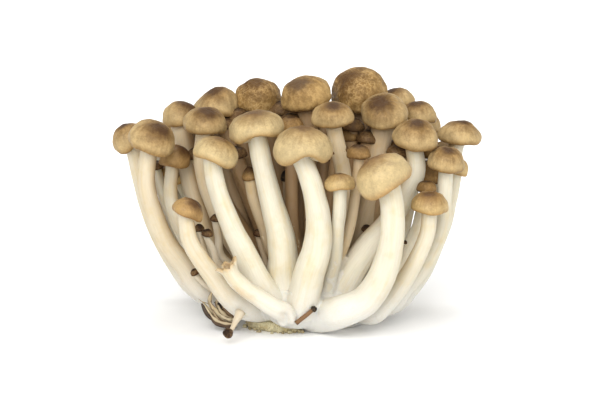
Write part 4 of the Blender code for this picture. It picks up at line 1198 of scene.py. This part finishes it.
def sprout(name, top, foot, bend, girths, half, height):
    """A young mushroom that rises from its foot to its top. Sideways it is at (1 - s)^bend of the way after a
    share s of the way down, so that it leans out low and stands up high."""
    left_over = 1.0 - np.linspace(0.0, 1.0, SPROUT_PLACES)[:, None]
    rise = top - foot
    axis = unit(np.array([5.0 * top[0], 5.0 * top[1], 1.0]))
    return directions(axis) | {
        "name": name,
        "belly": top + 0.001 * axis,
        "height": height,
        "half": half,
        "stem": foot + np.hstack([rise[:2] * left_over**bend, rise[2] * left_over]),
        "girth": np.linspace(*girths, SPROUT_PLACES),
    }


# Two that stand at the sides of the bunch, with their own feet and bends.
SIDE_STEMS_MM = {
    "left_young": ((-50.5, 5.0, 52.0), (-27.0, 2.0, 12.0), 0.45, 2.4),
    "right_young": ((40.0, 2.0, 49.0), (24.0, -2.0, 10.0), 0.45, 2.6),
}
crowd = [
    (f"inner_young_{number}", spot, None, INNER_BEND, girth)
    for number, (spot, girth) in enumerate(INNER_TOPS_MM, 1)
]
crowd += [(name, *values) for name, values in SIDE_STEMS_MM.items()]
for seed, (name, spot, foot_spot, bend, girth) in enumerate(crowd, 301):
    top, thick = np.array(spot) * MM, girth * MM
    foot = FOOT_HEART + top * INNER_FOOT_SPREAD + INNER_FOOT_RISE
    if foot_spot:
        foot = np.array(foot_spot) * MM
    half, height = INNER_HALF_SHARE * thick, INNER_HEIGHT_SHARE * thick
    young = sprout(name, top, foot, bend, (0.8 * thick, thick), half, height)
    # Painted shade: the shaded cap skin and a stem shade of 1.25 make these recede into the bunch.
    add_piece(f"{name}_cap", build_cap(young, cap("shaded", full=2.0), seed), CAP_SKINS["shaded"], "cap_skin")
    mesh = build_tube(f"{name}_stem", *stem_line(young), 28, seed, 1.25)
    add_piece(f"{name}_stem", mesh, STEM_FLESH, "mushroom_flesh")


# The smallest pins: dark heads hardly wider than their stems, between the feet of the big mushrooms. They
# stopped growing first. Each has its head's place, its foot and its head's half width, in millimetres.
TINY_PINS_MM = [
    ((-25.4, -14.0, 32.6), (-16.0, -10.0, 14.0), 0.9),
    ((-31.5, -16.0, 14.2), (-22.0, -13.0, 6.0), 1.3),
    ((-28.7, -16.6, 12.3), (-21.0, -14.0, 5.0), 0.9),
    ((35.9, -20.0, 30.6), (26.0, -14.0, 17.0), 0.8),
    ((2.6, -11.0, 36.5), (2.0, -8.0, 15.0), 0.9),
]
for number, (head_spot, foot_spot, half_mm) in enumerate(TINY_PINS_MM, 1):
    seed, half = 350 + number, half_mm * MM
    ends = np.array([head_spot, foot_spot]) * MM
    tiny = sprout(f"tiny_pin_{number}", *ends, 1.4, (0.55 * half, 0.9 * half), half, 1.8 * half)
    head = build_cap(tiny, cap("pin", full=2.0), seed)
    add_piece(f"tiny_pin_{number}_head", head, HEAD_SKINS["pin"], "dark_pin")
    line_along = even_line(tiny["stem"], tiny["girth"], count=24)
    # Painted shade on the tiny pin stems, darker inside the bunch.
    mesh = build_tube(f"tiny_pin_{number}_stem", *line_along, 16, seed, 0.6, uneven=0.06)
    add_piece(f"tiny_pin_{number}_stem", mesh, PIN_FLESH, "dark_pin")


# The dried stems: a fan of dead young stems at the left of the foot, shrivelled to flat straps with dark
# brown edges, two of them as thin as hairs. Each has the places it runs through and half its width, in
# millimetres, and how browned it is all over.
DRIED_STRAPS_MM = [
    ([(-22.5, -17.5, 3.5), (-27.0, -18.5, 5.0), (-30.5, -19.0, 7.0), (-33.6, -19.0, 10.4)], 0.55, 0.05),
    ([(-22.5, -18.5, 3.0), (-27.0, -19.5, 5.2), (-29.5, -19.6, 7.8), (-31.2, -19.0, 10.6)], 0.90, 0.00),
    ([(-22.0, -18.0, 3.5), (-25.0, -19.2, 5.0), (-27.2, -19.4, 7.0), (-28.4, -18.8, 9.2)], 0.85, 0.05),
    ([(-21.5, -17.0, 4.0), (-24.0, -18.6, 5.6), (-25.8, -18.8, 7.4), (-27.0, -18.2, 9.0)], 0.70, 0.40),
    ([(-30.6, -18.0, 8.0), (-31.2, -17.8, 10.0), (-31.0, -17.4, 12.0), (-30.0, -17.0, 14.2)], 0.70, 0.00),
    ([(-28.6, -17.0, 7.6), (-28.8, -17.0, 9.6), (-28.0, -16.8, 11.4), (-27.0, -16.4, 12.8)], 0.65, 0.15),
    ([(-26.6, -16.4, 7.2), (-26.4, -16.4, 9.0), (-25.4, -16.0, 10.4), (-24.4, -15.4, 11.2)], 0.65, 0.55),
    ([(-22.0, -19.5, 1.8), (-25.5, -20.2, 2.2), (-29.0, -20.4, 3.2), (-31.2, -20.0, 5.4)], 0.85, 0.75),
    ([(-23.0, -20.0, 2.8), (-26.5, -20.8, 3.4), (-29.4, -20.8, 4.8), (-31.4, -20.2, 7.2)], 0.60, 0.10),
    ([(-29.0, -19.6, 3.6), (-31.4, -19.8, 5.4), (-32.8, -19.4, 7.6), (-34.0, -18.8, 9.8)], 0.80, 0.80),
    ([(-28.0, -19.4, 4.6), (-30.4, -20.0, 6.0), (-31.8, -19.8, 7.8), (-33.0, -19.2, 9.6)], 0.50, 0.05),
    ([(-22.5, -16.5, 5.0), (-24.6, -17.4, 7.0), (-26.6, -17.2, 8.6), (-29.6, -17.0, 9.8)], 0.80, 0.90),
    ([(-23.5, -19.8, 2.4), (-27.0, -20.4, 3.8), (-29.0, -20.6, 5.8), (-30.2, -20.0, 8.0)], 0.55, 0.30),
    ([(-22.0, -18.8, 4.6), (-24.0, -20.0, 4.4), (-26.2, -20.2, 5.2), (-28.0, -19.8, 6.6)], 0.60, 0.00),
    ([(-24.0, -16.0, 2.0), (-26.5, -17.0, 3.0), (-29.0, -17.6, 5.0), (-30.5, -17.8, 8.0)], 1.30, 0.85),
    ([(-22.5, -15.0, 3.0), (-25.0, -16.0, 4.5), (-27.0, -16.6, 6.5), (-28.5, -16.8, 9.0)], 1.40, 0.80),
    ([(-31.6, -19.0, 9.6), (-32.6, -19.2, 10.2), (-33.8, -19.2, 10.6), (-35.2, -19.0, 11.6)], 0.16, 0.20),
    ([(-22.0, -19.0, 7.0), (-24.0, -20.0, 8.6), (-25.5, -20.0, 9.0), (-27.0, -19.6, 8.2)], 0.14, 0.10),
]
DRIED_WIDTHS = np.array([0.7, 1.0, 0.95, 0.35])
DRIED_FLAT = 0.45
DRIED_SIDES = 20
DRIED_STEPS = 30
DRIED_COLOURS = [(228, 210, 172), (128, 94, 58), (44, 30, 20)]
DRIED_FLESH = flesh("dried_flesh", 0.0003, DRIED_COLOURS, 0.0, Stain=(0.8, 0.68, 0.52, 1.0), Butt=0.0)
edge = np.abs(np.cos(full_turn(DRIED_SIDES))) ** 3
for number, (stops, width, dried) in enumerate(DRIED_STRAPS_MM, 1):
    name, seed = f"dried_strap_{number}", 400 + number
    line_along = even_line(np.array(stops) * MM, width * MM * DRIED_WIDTHS, count=DRIED_STEPS)
    mesh = build_tube(name, *line_along, DRIED_SIDES, seed, 0.0, uneven=0.14, flat=DRIED_FLAT)
    browned = dried + 0.95 * edge * (0.6 + 0.4 * np.sin(np.arange(DRIED_STEPS) * 0.55 + seed))[:, None]
    browned = np.clip(np.append(browned.ravel(), [dried, 1.0]), 0.0, 1.0)
    mesh.attributes["deep"].data.foreach_set("value", browned.astype(np.float32))
    add_piece(name, mesh, DRIED_FLESH, "dried_tissue", "dried_stems")
